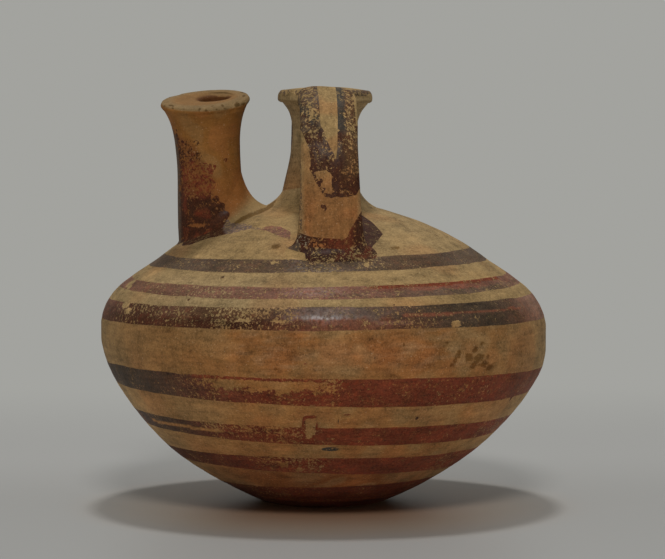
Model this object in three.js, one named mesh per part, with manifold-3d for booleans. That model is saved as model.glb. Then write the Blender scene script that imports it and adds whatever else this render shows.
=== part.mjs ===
// A small stirrup jar: a closed, round-bodied oil jar of fired clay. A solid false neck plugs the
// hole where the body was closed, a disc caps it, two strap handles arch from the disc to the
// shoulder like a stirrup, and a spout stands beside them over a hole pierced in the shoulder.
// Millimetres, +Z up. The origin is on the ground under the jar's axis. The handles stand at
// -Y and +Y, and the spout at -X.

import * as THREE from 'three';
import { mergeVertices } from 'three/addons/utils/BufferGeometryUtils.js';
import Module from 'manifold-3d';

const wasm = await Module();
wasm.setup();

// Body
const bellyRadius = 61;
const bellyHeight = 47;
const crownHeight = 81.6;
const footRadius = 16.5;
const footHollowRadius = 11.5;
const footHollowDepth = 0.8;
const bodyWall = 4.2;
const floorThickness = 6.5;

// False neck and disc
const neckHoleRadius = 8;
const neckRadius = 8.6;
const neckFootRadius = 10.2;
const neckFlareRadius = 11.2;
const plugDepth = 6;
const discRadius = 12.5;
const discThickness = 3.5;
const discTopHeight = 112.6;
const discPeak = 0.8;

// Spout
const spoutReachShare = 0.4984;
const spoutReach = spoutReachShare * bellyRadius;
const spoutTopHeight = 109.8;
const spoutLean = THREE.MathUtils.degToRad(3.2);
const spoutLipRadius = 12.1;
const spoutLandRadius = 8.4;
const spoutNeckRadius = 8.7;
const spoutNeckDrop = 14;
const spoutFootRadius = 9.4;
const spoutMouthRadius = 4.1;
const spoutMouthDrop = 1.3;
const spoutMouthShift = 2;
const spoutBoreRadius = 5.1;
const spoutBoreDrop = 4.5;
const spoutBoreShift = 0.8;
const spoutHoleRadius = 6;
const lipDipToFront = 0.25;
const lipDipOutward = 0.03;

// Strap handles
const strapWidth = 15.1;
const strapThickness = 5.3;
const strapCrownRise = 1;
const strapRootShare = 0.6279;
const strapRootReach = strapRootShare * bellyRadius;
const strapSplayShare = 0.3;

// Clay that fixes the neck, the spout and the handles to the shoulder
const neckCollarWidth = 2.8;
const neckCollarHeight = 7.5;
const spoutCollarWidth = 3;
const spoutCollarHeight = 10;
const rootPadHalfWidth = 12.2;
const rootPadHalfLength = 9;
const rootPadHeight = 3.8;
const featherEdge = 0.25;

// Colours, and how rough the fired clay and the slip are
const bandedClay = 0xc08a5c;
const neckClay = 0xb9835a;
const discClay = 0xbd8b60;
const collarClay = 0xb57c50;
const spoutClay = 0xb77e52;
const stainedClay = 0xa86c46;
const strapClay = 0xb07448;
const rootSlip = 0x7d4a35;
const bandedRoughness = 0.55;
const clayRoughness = 0.6;

// Fits and facets
const clearance = 0.3;
const overrun = 4;
const weldDistance = 0.0005;
const bodySegments = 56;
const ringSegments = 36;
const padSegments = 24;
const outlineSteps = 26;
const ringOutlineSteps = 12;
const strapSteps = 16;
const strapSectionPoints = 14;
const strapSplayPower = 5;
const strapEdgePower = 0.7;
const strapFacePower = 0.8;

// The body's outline below the belly: shares of the belly's radius and of its height.
const lowerOutlineShares = [
  [0.38, 0.065], [0.526, 0.17], [0.67, 0.3], [0.8, 0.468], [0.9, 0.638], [0.97, 0.81],
];

// The body's outline above the belly: shares of the belly's radius and of the rise to the crown.
const upperOutlineShares = [
  [0.975, 0.202], [0.93, 0.318], [0.85, 0.434], [0.753, 0.549], [0.66, 0.665], [0.544, 0.78],
  [0.39, 0.896], [0.2, 0.98],
];

// The spout's outside from its lip to its narrowest place: shares of the lip's overhang beyond the
// narrowest place, and of the drop to it.
const spoutOutlineShares = [
  [0.72, 0], [1, 0.07], [0.6, 0.23], [0.34, 0.4], [0.2, 0.58], [0.07, 0.78], [0, 1],
];

// The strap's middle line: shares of its way out from the disc's rim to its root, and of its drop
// from the crown.
const strapPathShares = [
  [-0.08, 0.02], [0.15, 0], [0.46, 0.085], [0.73, 0.31], [0.9, 0.63], [1, 1], [1.01, 1.1],
];

// The neck's outline between its foot and its flare: shares of the flare's or the foot's overhang
// beyond the narrowest place, and of the neck's height.
const neckFootShares = [[1, 0], [0.5, 0.2], [0, 0.54]];
const neckFlareShares = [[0.1, 0.8], [0.33, 0.91], [1, 1]];

// The disc's rounded rim: shares of the disc's thickness, inwards from its radius and up.
const discRimShares = [[0.24, 0], [0.04, 0.14], [0, 0.4], [0.06, 0.72], [0.22, 0.93], [0.6, 1]];

// A fillet of clay from its top to its foot: shares of its width and of its height.
const filletShares = [[0, 1], [0.2, 0.62], [0.52, 0.28], [1, 0]];

// A closed mesh as a solid that can be joined and cut. Where an outline meets its axis the mesh
// has triangles of no area, and they are left out.
function solidOf(geometry) {
  geometry.deleteAttribute('normal');
  geometry.deleteAttribute('uv');
  const merged = mergeVertices(geometry, weldDistance);
  const corners = merged.index.array;
  const triVerts = [];
  for (let first = 0; first < corners.length; first += 3) {
    const [a, b, c] = corners.slice(first, first + 3);
    if (a !== b && b !== c && c !== a) triVerts.push(a, b, c);
  }
  return new wasm.Manifold(new wasm.Mesh({
    numProp: 3,
    vertProperties: Float32Array.from(merged.attributes.position.array),
    triVerts: Uint32Array.from(triVerts),
  }));
}

// A named mesh of a finished solid.
function pieceOf(name, solid, color, roughness) {
  const { vertProperties, triVerts } = solid.getMesh();
  const geometry = new THREE.BufferGeometry();
  geometry.setAttribute('position', new THREE.BufferAttribute(Float32Array.from(vertProperties), 3));
  geometry.setIndex(new THREE.BufferAttribute(Uint32Array.from(triVerts), 1));
  geometry.computeVertexNormals();
  const material = new THREE.MeshStandardMaterial({ color, roughness, metalness: 0 });
  const mesh = new THREE.Mesh(geometry, material);
  mesh.name = name;
  return mesh;
}

// An outline of [radius, height] pairs, listed from the bottom of the axis round to its top, turned
// about +Z.
function turned(outline, segments) {
  const points = outline.map(([radius, height]) => new THREE.Vector2(radius, height));
  return new THREE.LatheGeometry(points, segments).rotateX(Math.PI / 2);
}

// An upright cylinder about the axis between two heights.
function upright(radius, low, high, segments) {
  return solidOf(turned([[0, low], [radius, low], [radius, high], [0, high]], segments));
}

// Points along a smooth curve through an outline, each moved outwards by grow, square to the curve.
function smoothOutline(outline, steps, grow) {
  const curve = new THREE.SplineCurve(outline.map(([r, z]) => new THREE.Vector2(r, z)));
  const points = [];
  for (let step = 0; step <= steps; step += 1) {
    const place = curve.getPointAt(step / steps);
    const along = curve.getTangentAt(step / steps);
    points.push([place.x + along.y * grow, place.y - along.x * grow]);
  }
  return points;
}

// The body's side from the foot's edge to the middle of the crown.
function bodySide(grow) {
  const rise = crownHeight - bellyHeight;
  const outline = [[footRadius, 0]];
  for (const [r, z] of lowerOutlineShares) outline.push([r * bellyRadius, z * bellyHeight]);
  outline.push([bellyRadius, bellyHeight]);
  for (const [r, z] of upperOutlineShares) outline.push([r * bellyRadius, bellyHeight + z * rise]);
  outline.push([0, crownHeight]);
  return smoothOutline(outline, outlineSteps, grow).filter(([r]) => r > clearance);
}

// The whole space inside the body's outside, grown by a gap.
function bodySpace(gap) {
  return solidOf(turned([[0, -gap], ...bodySide(gap), [0, crownHeight + gap]], bodySegments));
}

// The hollow inside the body, with a thicker floor than wall.
function bodyHollow() {
  const side = bodySide(-bodyWall).filter(([, z]) => z > floorThickness);
  return solidOf(turned([[0, floorThickness], ...side, [0, crownHeight - bodyWall]], bodySegments));
}

// Height and slope of the shoulder at a distance from the axis.
function shoulderAt(radius) {
  const side = bodySide(0).filter(([, z]) => z > bellyHeight);
  const above = side.findIndex(([r]) => r < radius);
  const [outerRadius, outerHeight] = side[above - 1];
  const [innerRadius, innerHeight] = side[above];
  const slope = (innerHeight - outerHeight) / (outerRadius - innerRadius);
  return { height: outerHeight + slope * (outerRadius - radius), slope: Math.atan(slope) };
}

// Where the neck's underside sits: just above the edge of the body's hole.
function neckSeatHeight() {
  return shoulderAt(neckHoleRadius).height + clearance;
}

// The neck's outside from its foot to its flare, grown by a gap.
function neckSide(gap) {
  const seat = neckSeatHeight();
  const height = discTopHeight - discThickness - seat;
  const footOverhang = neckFootRadius - neckRadius;
  const flareOverhang = neckFlareRadius - neckRadius;
  const outline = [];
  for (const [r, z] of neckFootShares) outline.push([neckRadius + r * footOverhang, seat + z * height]);
  for (const [r, z] of neckFlareShares) outline.push([neckRadius + r * flareOverhang, seat + z * height]);
  return smoothOutline(outline, ringOutlineSteps, gap);
}

// The neck's radius at a height between its foot and its flare.
function neckRadiusAt(height) {
  const side = neckSide(0);
  const above = Math.max(1, side.findIndex(([, z]) => z > height));
  const [lowRadius, low] = side[above - 1];
  const [highRadius, high] = side[above];
  return lowRadius + (highRadius - lowRadius) * (height - low) / (high - low);
}

// The neck's own space with a gap round it, for what is fixed against it.
function neckSpace(gap) {
  const side = neckSide(gap);
  const top = side[side.length - 1];
  return solidOf(turned([[0, 0], [side[0][0], 0], ...side, [0, top[1]]], ringSegments));
}

// The spout leans outwards about the point where its axis meets the shoulder.
function placeSpout(geometry) {
  const foot = shoulderAt(spoutReach).height;
  return geometry.translate(0, 0, -foot).rotateY(-spoutLean).translate(-spoutReach, 0, foot);
}

// The lip's plane dips to the front and outwards: a shear that fades out at the narrowest place.
function dipLip(geometry) {
  const places = geometry.attributes.position;
  const fadeFrom = spoutTopHeight - spoutNeckDrop;
  for (let index = 0; index < places.count; index += 1) {
    const fade = THREE.MathUtils.smoothstep(places.getZ(index), fadeFrom, spoutTopHeight);
    const dip = lipDipToFront * places.getY(index) + lipDipOutward * places.getX(index);
    places.setZ(index, places.getZ(index) + fade * dip);
  }
  return geometry;
}

// The spout's outside, grown by a gap, from well under the shoulder to the lip.
function spoutOutside(gap) {
  const overhang = spoutLipRadius - spoutNeckRadius;
  const foot = shoulderAt(spoutReach).height;
  const outline = [[spoutFootRadius, foot]];
  for (const [r, drop] of spoutOutlineShares.toReversed()) {
    outline.push([spoutNeckRadius + r * overhang, spoutTopHeight - drop * spoutNeckDrop]);
  }
  const side = smoothOutline(outline, ringOutlineSteps, gap);
  const low = foot - spoutFootRadius - overrun;
  const closed = [[0, low], [side[0][0], low], ...side, [0, spoutTopHeight + gap]];
  return solidOf(placeSpout(dipLip(turned(closed, ringSegments))));
}

// An upright turned shape in the spout, off the spout's axis towards the neck.
function inSpout(outline, shift) {
  return solidOf(placeSpout(dipLip(turned(outline, ringSegments).translate(shift, 0, 0))));
}

// The lip slopes gently in to a small mouth, which is off the middle.
function spoutMouth() {
  const land = spoutTopHeight + overrun;
  const throat = spoutTopHeight - spoutMouthDrop;
  const low = spoutTopHeight - spoutBoreDrop - spoutBoreRadius;
  return inSpout([
    [0, low], [spoutMouthRadius, low], [spoutMouthRadius, throat], [spoutLandRadius, spoutTopHeight],
    [spoutLandRadius, land], [0, land],
  ], spoutMouthShift);
}

// The wider bore below the mouth, down through the spout and the pierced shoulder.
function spoutBore(radius) {
  const low = shoulderAt(spoutReach).height - spoutFootRadius - overrun;
  const top = spoutTopHeight - spoutBoreDrop;
  return inSpout([
    [0, low], [radius, low], [radius, top - radius / 2], [radius / 2, top], [0, top],
  ], spoutBoreShift);
}

function signedPower(value, power) {
  return Math.sign(value) * Math.abs(value) ** power;
}

// A strap handle at +Y: a flattened oval carried along its middle line, wider towards its root.
function strapSpace(gap) {
  const startReach = discRadius + clearance;
  const crown = discTopHeight + strapCrownRise - strapThickness / 2;
  const span = strapRootReach - startReach;
  const drop = crown - shoulderAt(strapRootReach).height;
  const path = new THREE.SplineCurve(strapPathShares.map(([out, down]) => new THREE.Vector2(
    startReach + out * span, crown - down * drop)));
  const places = [];
  for (let step = 0; step <= strapSteps; step += 1) {
    const share = step / strapSteps;
    const middle = path.getPointAt(share);
    const along = path.getTangentAt(share);
    const halfWidth = strapWidth / 2 * (1 + strapSplayShare * share ** strapSplayPower) + gap;
    const halfThickness = strapThickness / 2 + gap;
    for (let corner = 0; corner < strapSectionPoints; corner += 1) {
      const angle = 2 * Math.PI * corner / strapSectionPoints;
      const across = halfWidth * signedPower(Math.cos(angle), strapEdgePower);
      const out = halfThickness * signedPower(Math.sin(angle), strapFacePower);
      places.push(across, middle.x - along.y * out, middle.y + along.x * out);
    }
  }
  const corners = [];
  for (let step = 0; step < strapSteps; step += 1) {
    for (let corner = 0; corner < strapSectionPoints; corner += 1) {
      const a = step * strapSectionPoints + corner;
      const b = step * strapSectionPoints + (corner + 1) % strapSectionPoints;
      corners.push(a, b + strapSectionPoints, b, a, a + strapSectionPoints, b + strapSectionPoints);
    }
  }
  const last = strapSteps * strapSectionPoints;
  for (let corner = 1; corner < strapSectionPoints - 1; corner += 1) {
    corners.push(0, corner, corner + 1, last, last + corner + 1, last + corner);
  }
  const geometry = new THREE.BufferGeometry();
  geometry.setAttribute('position', new THREE.Float32BufferAttribute(places, 3));
  geometry.setIndex(corners);
  return solidOf(geometry);
}

function makeBody() {
  const hollowFoot = turned([
    [0, -overrun], [footHollowRadius, -overrun], [footHollowRadius, 0], [0, footHollowDepth],
  ], ringSegments);
  const hole = upright(neckHoleRadius, bellyHeight, crownHeight + overrun, ringSegments);
  const shell = bodySpace(0).subtract(bodyHollow()).subtract(solidOf(hollowFoot));
  const pierced = shell.subtract(hole).subtract(spoutBore(spoutHoleRadius));
  return pieceOf('body', pierced, bandedClay, bandedRoughness);
}

// The neck ends below in a plug that fills the hole in the body's crown.
function makeFalseNeck() {
  const side = neckSide(0);
  const seat = neckSeatHeight();
  const outline = [
    [0, seat - plugDepth], [neckHoleRadius - clearance, seat - plugDepth],
    [neckHoleRadius - clearance, seat], ...side, [0, side[side.length - 1][1]],
  ];
  const neck = solidOf(turned(outline, ringSegments));
  return pieceOf('false_neck', neck, neckClay, clayRoughness);
}

function makeNeckDisc() {
  const low = discTopHeight - discThickness;
  const rim = discRimShares.map(([inward, up]) => [
    discRadius - inward * discThickness, low + up * discThickness,
  ]);
  const disc = solidOf(turned([[0, low], ...rim, [0, discTopHeight + discPeak]], ringSegments));
  return pieceOf('neck_disc', disc, discClay, clayRoughness);
}

function makeSpout() {
  const spout = spoutOutside(0).subtract(bodySpace(clearance));
  const open = spout.subtract(spoutMouth()).subtract(spoutBore(spoutBoreRadius));
  return pieceOf('spout', open, spoutClay, clayRoughness);
}

// One strap, cut to the disc's rim and to the shoulder.
function strapHandle() {
  const low = discTopHeight - 2 * discThickness;
  const rim = upright(discRadius + clearance, low, discTopHeight + overrun, bodySegments);
  return strapSpace(0).subtract(rim).subtract(bodySpace(clearance));
}

// Clay pressed round a strap's root and smoothed down to the shoulder.
function rootPad() {
  const { height, slope } = shoulderAt(strapRootReach);
  const dome = new THREE.SphereGeometry(rootPadHalfWidth, padSegments, padSegments / 2);
  dome.rotateX(Math.PI / 2);
  dome.scale(1, rootPadHalfLength / rootPadHalfWidth, rootPadHeight / rootPadHalfWidth);
  dome.rotateX(-slope).translate(0, strapRootReach, height);
  return solidOf(dome).subtract(bodySpace(clearance)).subtract(strapSpace(clearance));
}

// The clay round the neck's foot runs out thin up the neck.
function neckCollar() {
  const foot = shoulderAt(neckFootRadius + neckCollarWidth).height;
  const topRadius = neckRadiusAt(foot + neckCollarHeight) + clearance + featherEdge;
  const width = neckFootRadius + neckCollarWidth - topRadius;
  const fillet = filletShares.toReversed().map(([out, up]) => [
    topRadius + out * width, foot + up * neckCollarHeight,
  ]);
  const low = foot - neckCollarHeight;
  const outline = [[0, low], [fillet[0][0], low], ...fillet, [0, foot + neckCollarHeight]];
  const collar = solidOf(turned(outline, ringSegments));
  return collar.subtract(bodySpace(clearance)).subtract(neckSpace(clearance));
}

// The clay round the spout's foot lies mostly on the side of the neck, where the shoulder rises.
function spoutCollar() {
  const topFoot = shoulderAt(spoutReach - spoutFootRadius - spoutCollarWidth).height;
  const shift = spoutCollarWidth;
  const topRadius = spoutNeckRadius + clearance + featherEdge - shift;
  const width = spoutFootRadius + clearance - topRadius;
  const fillet = filletShares.toReversed().map(([out, up]) => [
    topRadius + out * width, topFoot + up * spoutCollarHeight,
  ]);
  const low = topFoot - 2 * spoutFootRadius;
  const outline = [[0, low], [fillet[0][0], low], ...fillet, [0, topFoot + spoutCollarHeight]];
  const collar = solidOf(turned(outline, ringSegments).translate(shift - spoutReach, 0, 0));
  return collar.subtract(bodySpace(clearance)).subtract(spoutOutside(clearance));
}

const jar = new THREE.Group();
jar.add(makeBody(), makeFalseNeck(), makeNeckDisc(), makeSpout());
jar.add(pieceOf('neck_collar', neckCollar(), collarClay, clayRoughness));
jar.add(pieceOf('spout_collar', spoutCollar(), stainedClay, clayRoughness));

// The front handle is the rear one turned half way round the jar.
for (const [side, turn] of [['rear', 0], ['front', Math.PI]]) {
  const stirrup = new THREE.Group();
  stirrup.rotation.z = turn;
  stirrup.add(pieceOf(`${side}_handle`, strapHandle(), strapClay, clayRoughness));
  stirrup.add(pieceOf(`${side}_handle_root`, rootPad(), rootSlip, clayRoughness));
  jar.add(stirrup);
}

export default jar;
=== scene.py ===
"""A small painted stirrup jar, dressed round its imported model, and the stage that it stands on.

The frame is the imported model's: metres, +Z up, handles at -Y (front) and +Y (rear), spout at -X.
Shapes are worked out in millimetres as whole arrays, and reach the meshes in metres.
"""

import math
from types import SimpleNamespace

import bpy
import numpy as np
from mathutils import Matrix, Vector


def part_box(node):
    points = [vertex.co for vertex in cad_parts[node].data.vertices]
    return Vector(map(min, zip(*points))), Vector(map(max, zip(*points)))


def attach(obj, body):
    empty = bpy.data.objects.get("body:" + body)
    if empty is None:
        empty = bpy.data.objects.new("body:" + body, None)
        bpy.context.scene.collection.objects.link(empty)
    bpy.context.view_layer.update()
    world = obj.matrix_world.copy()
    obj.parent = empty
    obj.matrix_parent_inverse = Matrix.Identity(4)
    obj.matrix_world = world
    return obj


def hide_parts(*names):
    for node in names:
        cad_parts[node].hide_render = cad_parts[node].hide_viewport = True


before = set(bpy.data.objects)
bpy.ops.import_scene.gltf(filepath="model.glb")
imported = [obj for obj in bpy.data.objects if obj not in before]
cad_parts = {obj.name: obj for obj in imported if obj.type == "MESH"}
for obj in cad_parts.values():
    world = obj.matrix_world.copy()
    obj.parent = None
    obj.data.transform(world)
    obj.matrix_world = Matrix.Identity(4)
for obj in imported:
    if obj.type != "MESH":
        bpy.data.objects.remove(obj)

bl_info = {
    "name": "Stirrup jar",
    "version": (1, 0, 0),
    "blender": (4, 5, 0),
    "location": "3D View > Sidebar > Jar",
    "description": "Makes a small painted stirrup jar and its stage",
    "category": "Object",
}

MM = 0.001

# Small sizes in millimetres, and the spout's lean.
INSET = 0.01  # the surfaces stay this far inside the solids' furthest points
SEAM = 0.3  # between the crown and the false neck
SUNK = 0.12  # depth of a bead's edge under the shoulder
CROWN_HOLE = 8  # radius of the hole that the false neck closes
PLUG = 7.7  # radius of the neck's plug in that hole
PLUG_DEPTH = 6
HOLLOW = 11.5  # radius of the hollow under the foot
HOLLOW_RISE = 0.8
WHEEL_STEP = 2.7  # between the rings that the wheel left
DOME = 0.8  # rise of the disc's middle over its rim
NECK_SHIFT = 0.5  # of the neck's top towards +X
FLARE = 14  # height of the spout's flare
BORE_SHIFT = 0.8  # from the spout's axis to the bore's, towards the neck
CROWN = 113.5  # height to which the straps' crown is pressed flat
FAR = 3  # depths of paint are cut off here
ON_SHOULDER = 60  # marks drawn in plan lie above this height
LEAN = math.radians(3.2)  # of the spout, outwards

# Shares of the belly's radius, and of its height or of the rise from it to the crown.
LOWER_SIDE = [(0.38, 0.065), (0.526, 0.17), (0.67, 0.3), (0.8, 0.468), (0.9, 0.638), (0.97, 0.81)]
UPPER_SIDE = [
    (0.975, 0.202), (0.93, 0.318), (0.85, 0.434), (0.753, 0.549), (0.66, 0.665), (0.544, 0.78),
    (0.39, 0.896), (0.2, 0.98),
]

# The neck between foot and flare: shares of the overhang, and of the neck's height.
NECK_FOOT = [(1, 0), (0.5, 0.2), (0, 0.54)]
NECK_FLARE = [(0.12, 0.8), (0.42, 0.91), (1, 1)]

# The disc's rim: shares of its thickness, inwards and up.
DISC_RIM = [(0.24, 0), (0.04, 0.14), (0, 0.4), (0.06, 0.72), (0.22, 0.93), (0.6, 1)]

# The spout's outside from lip to narrowest place: shares of the lip's overhang and of the drop.
SPOUT_SIDE = [
    (0.9, 0), (1, 0.045), (0.72, 0.17), (0.5, 0.29), (0.3, 0.44), (0.16, 0.6), (0.05, 0.8), (0, 1),
]

# The strap's middle line: shares of the way out from the disc to the root, and of the drop to it.
STRAP_PATH = [
    (-0.3, 0.075), (-0.08, 0.02), (0.15, 0), (0.46, 0.085), (0.73, 0.31), (0.9, 0.63), (1, 1),
    (1.01, 1.1),
]

# Painted bands from the top down: upper and lower edge, each as height on the axis and slopes
# towards +X and +Y; slip of the upper and lower half; arcs of other slip as middle and half width
# in degrees, name and amounts above and below; and rubbed arcs as middle, half width and amounts.
BANDS = [
    (
        (68.97, 0.0223, 0.0061), (65.87, 0.0165, 0.008), "grey_slip", "grey_slip",
        [
            (-20, 22, "brown_slip", 0.4, 0.5), (30, 14, "brown_slip", 0.5, 0.5),
            (150, 40, "plum_slip", 0.5, 0.4),
        ],
        [(-24, 22, 0.06, 0.02), (3, 15, 0.2, 0.14), (-58, 12, 0.06, 0.02), (178, 24, 0.3, 0.2)],
    ),
    (
        (62.45, 0.0097, 0.0107), (59.74, 0.009, 0.0117), "plum_slip", "plum_slip",
        [
            (-62, 24, "brown_slip", 0.4, 0.3), (42, 28, "grey_slip", 0, 0.9),
            (30, 26, "red_slip", 0.4, 0), (190, 50, "grey_slip", 0.7, 0.6),
        ],
        [
            (-52, 14, 0.06, 0.04), (-24, 18, 0.12, 0.1), (8, 14, 0.05, 0.06),
            (62, 16, 0.04, 0.08), (140, 20, 0.3, 0.2),
        ],
    ),
    (
        (56.53, 0.011, -0.0091), (50.70, -0.0004, -0.0118), "plum_slip", "red_plum_slip",
        [
            (-66, 24, "dark_slip", 0.95, 0.95), (-26, 18, "brown_slip", 0.9, 0),
            (-28, 19, "dark_slip", 0.2, 0.95), (2, 14, "grey_plum_slip", 0.8, 0),
            (36, 28, "black_slip", 1, 0.5), (40, 18, "black_slip", 0, 1),
            # A painted sheen: paler slip at the third band's right end.
            (72, 10, "painted_sheen_slip", 0.8, 0.8), (-76, 12, "plum_slip", 0.5, 0.2),
            (160, 46, "black_slip", 0.8, 0.3),
        ],
        [(-21, 12, 0.42, 0.26), (-52, 18, 0.14, 0.1), (16, 10, 0.04, 0.16), (200, 20, 0.3, 0.2)],
    ),
    (
        (38.23, -0.0129, -0.0096), (32.50, -0.0241, 0.0187), "red_slip", "red_slip",
        [
            (20, 44, "foot_slip", 0.3, 0.3), (-68, 36, "black_slip", 1, 1),
            (68, 14, "brown_slip", 0.4, 0.3), (150, 50, "black_slip", 0.6, 0.8),
        ],
        [(-17.6, 17.2, 0.97, 0.08), (-38, 5, 0.2, 0.08), (33, 12, 0.05, 0.03), (190, 26, 0.1, 0.5)],
    ),
    (
        (25.78, -0.0166, 0.006), (21.46, -0.0276, 0.0193), "red_slip", "red_slip",
        [(-64, 27, "black_slip", 0.95, 0.9), (120, 40, "brown_slip", 0.8, 0.8)],
        [(-24, 17, 0.36, 0.1), (62, 10, 0.1, 0.1), (210, 22, 0.5, 0.2)],
    ),
    (
        (16.09, -0.0095, -0.0116), (11.73, -0.0337, -0.0036), "red_slip", "red_slip",
        [(-66, 31, "dark_slip", 0.9, 0.85), (170, 50, "brown_slip", 0.8, 0.8)],
        [(-16, 12, 0.34, 0.2), (52, 10, 0.1, 0.2), (230, 20, 0.4, 0.4)],
    ),
    (
        (7.30, 0.0235, -0.0048), (0.25, 0, 0), "foot_slip", "foot_slip",
        [(-60, 26, "dark_slip", 0.6, 0.5), (120, 40, "brown_slip", 0.6, 0.4)],
        [(-30, 20, 0.1, 0.1), (160, 24, 0.3, 0.2)],
    ),
]

# Thin lines on the body: band, share of its height, azimuths of both ends, half width, slip and
# share rubbed off.
LINES = [
    (1, 0.94, 10, 64, 0.28, "red_slip", 0.06),
    (2, 0.6, 17, 60, 0.17, "red_plum_slip", 0.1), (2, 0.3, 10, 20, 0.4, "plum_slip", 0.4),
    (3, 0.95, -38, -2, 0.36, "red_slip", 0.1), (4, 0.5, -66, -34, 0.26, "low_clay", 0.1),
    (6, 0.35, -50, 60, 0.3, "red_slip", 0.2), (3, 0.5, 108, 150, 0.5, "plum_slip", 1),
    (1, 0.5, 190, 250, 0.4, "red_slip", 0.2), (2, 0.6, 150, 215, 0.42, "red_slip", 0.2),
]

# Spots on the body: azimuth, height, half width and half height, slip and share rubbed off.
SPOTS = [
    (-20.5, 36.4, 0.5, 2.0, "dark_slip", 0.04), (-6.5, 36.3, 0.4, 1.8, "red_slip", 0.05),
    (-15, 35.6, 0.9, 0.7, "red_slip", 0.2), (1.5, 27.6, 0.35, 1.4, "brown_slip", 0.1),
    (5.5, 27.9, 0.4, 1.5, "brown_slip", 0.1), (3.4, 29.2, 1.2, 0.3, "red_slip", 0.2),
    (-8.4, 26.6, 0.5, 2.0, "red_slip", 0.02), (-4.4, 26.6, 0.5, 2.0, "red_slip", 0.02),
    (-6.3, 28.6, 1.7, 0.5, "red_slip", 0.02), (-0.5, 19.4, 2.4, 0.6, "blue_grey_slip", 0.1),
    (60, 30.4, 0.4, 0.9, "dark_slip", 0.1), (57, 45.4, 0.4, 1.0, "brown_slip", 0.2),
    (8, 46, 0.5, 0.6, "brown_slip", 0.2), (11, 42.5, 0.5, 0.4, "red_slip", 0.2),
    (9.5, 44.4, 0.4, 0.4, "brown_slip", 0.2), (-7, 43, 1.2, 0.3, "red_slip", 0.3),
    (24, 27.6, 0.6, 0.5, "dark_slip", 0.1), (54, 31, 0.7, 0.4, "dark_slip", 0.1),
    (-40, 46, 0.5, 0.4, "brown_slip", 0.3), (-27, 41.5, 0.7, 0.3, "red_slip", 0.3),
    (-52, 44.4, 0.6, 0.4, "dark_slip", 0.3), (16, 57.6, 0.5, 0.4, "brown_slip", 0.2),
    (-35, 63.8, 0.7, 0.4, "brown_slip", 0.25), (-41, 58.2, 0.6, 0.4, "brown_slip", 0.2),
    (112, 40, 1.0, 1.6, "brown_slip", 0.3), (160, 45, 1.6, 1.0, "red_slip", 0.3),
]

# Brown stains in the clay: azimuth, height, half width, half height and strength.
STAINS = [
    (29, 47.5, 1.4, 0.5, 0.7), (31, 43, 0.6, 1.8, 0.9), (32.4, 44.6, 0.5, 1.0, 0.8),
    (30.2, 41.6, 0.6, 0.7, 0.8), (35.2, 43.6, 1.2, 1.6, 0.7), (37.4, 45.2, 1.0, 1.0, 0.8),
    (38.6, 43, 1.6, 1.4, 0.9), (37.2, 41.2, 1.3, 1.0, 0.8), (40.8, 41.4, 1.5, 1.1, 0.9),
    (43.2, 40.2, 1.6, 0.9, 0.9), (41.6, 43.4, 0.8, 0.8, 0.6), (45, 41.6, 0.8, 0.6, 0.6),
    (40, 46.8, 1.4, 0.7, 0.4), (33, 46.6, 1.2, 0.6, 0.5), (27, 45, 0.7, 0.6, 0.5),
    (56, 43.6, 0.5, 1.8, 0.7), (58, 40.4, 0.5, 1.3, 0.7), (57, 47, 0.5, 0.9, 0.5),
    (12.4, 44.2, 0.4, 1.8, 0.6), (11.2, 41.2, 0.5, 0.7, 0.7), (9, 46.6, 0.5, 0.6, 0.6),
    (17, 47.4, 0.4, 1.2, 0.5), (21, 41.6, 0.7, 0.5, 0.5), (2, 45.2, 0.6, 0.4, 0.5),
    (-31, 47.6, 0.6, 0.5, 0.5), (-14, 41.4, 1.0, 0.5, 0.5), (-45, 42.6, 0.8, 0.5, 0.5),
    (-55, 64.6, 0.5, 0.3, 0.6), (19, 63.5, 0.6, 0.3, 0.6), (30, 64.2, 0.7, 0.3, 0.6),
    (-22, 71.5, 1.4, 0.9, 0.35), (26, 71, 1.8, 0.7, 0.3), (105, 44, 1.8, 2.0, 0.8),
    (205, 42, 1.2, 1.4, 0.8), (250, 46, 1.2, 0.8, 0.8), (170, 71, 2.0, 1.0, 0.5),
]

# Places where the bands are chipped down to the clay: azimuth, height, half width and half height.
CHIPS = [
    (31.8, 52.2, 1.5, 0.9), (-76, 60.6, 2.4, 1.2), (-73, 59.8, 1.6, 0.7), (-66, 55.6, 2.6, 1.0),
    (-63, 54.2, 1.8, 0.8), (-23, 53.6, 2.4, 0.45), (-14, 53.4, 2.6, 0.4), (-17.6, 14.6, 1.0, 0.8),
    (-11.8, 13.2, 0.9, 0.7), (-4, 14.2, 0.6, 0.5), (1.4, 13.0, 0.6, 0.4), (-6.8, 24.5, 0.9, 2.6),
    (-46, 52.6, 0.7, 0.4), (12, 67, 0.8, 0.6), (-20, 67.6, 0.8, 0.5), (96, 35, 1.6, 1.0),
    (186, 53, 1.8, 0.9), (222, 36, 1.4, 1.0),
]

# Outlines of slip: on the shoulder in plan, and on the front strap and the spout as (across,
# height), where the spout's count across round its wall. BRANCH is a smear's middle line.
SPOUT_PATCH = [
    (-38.8, -10.3), (-36.7, -14.2), (-34, -15.5), (-31.8, -16.6), (-29.8, -18.3), (-27.1, -19.6),
    (-25.9, -16.4), (-26.6, -12.6), (-27.6, -9), (-30, -6), (-38.5, -6),
]
GREY_STROKE = [
    (-29, -17), (-26.4, -20.6), (-23.3, -21.3), (-19.9, -21.9), (-20, -20.2), (-21.9, -16.8),
    (-24.3, -13.4), (-26.2, -10.6), (-29, -9),
]
LENS = [
    (-18.6, -23.9), (-15.4, -23.5), (-12.6, -25.6), (-10.2, -29.6), (-10.4, -33.4), (-13.3, -30.9),
    (-16, -26.8),
]
BRANCH = [(-24, -13.2), (-20.4, -10.7), (-18.2, -9.3), (-15.4, -5.9), (-14.2, -3.0)]
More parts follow.
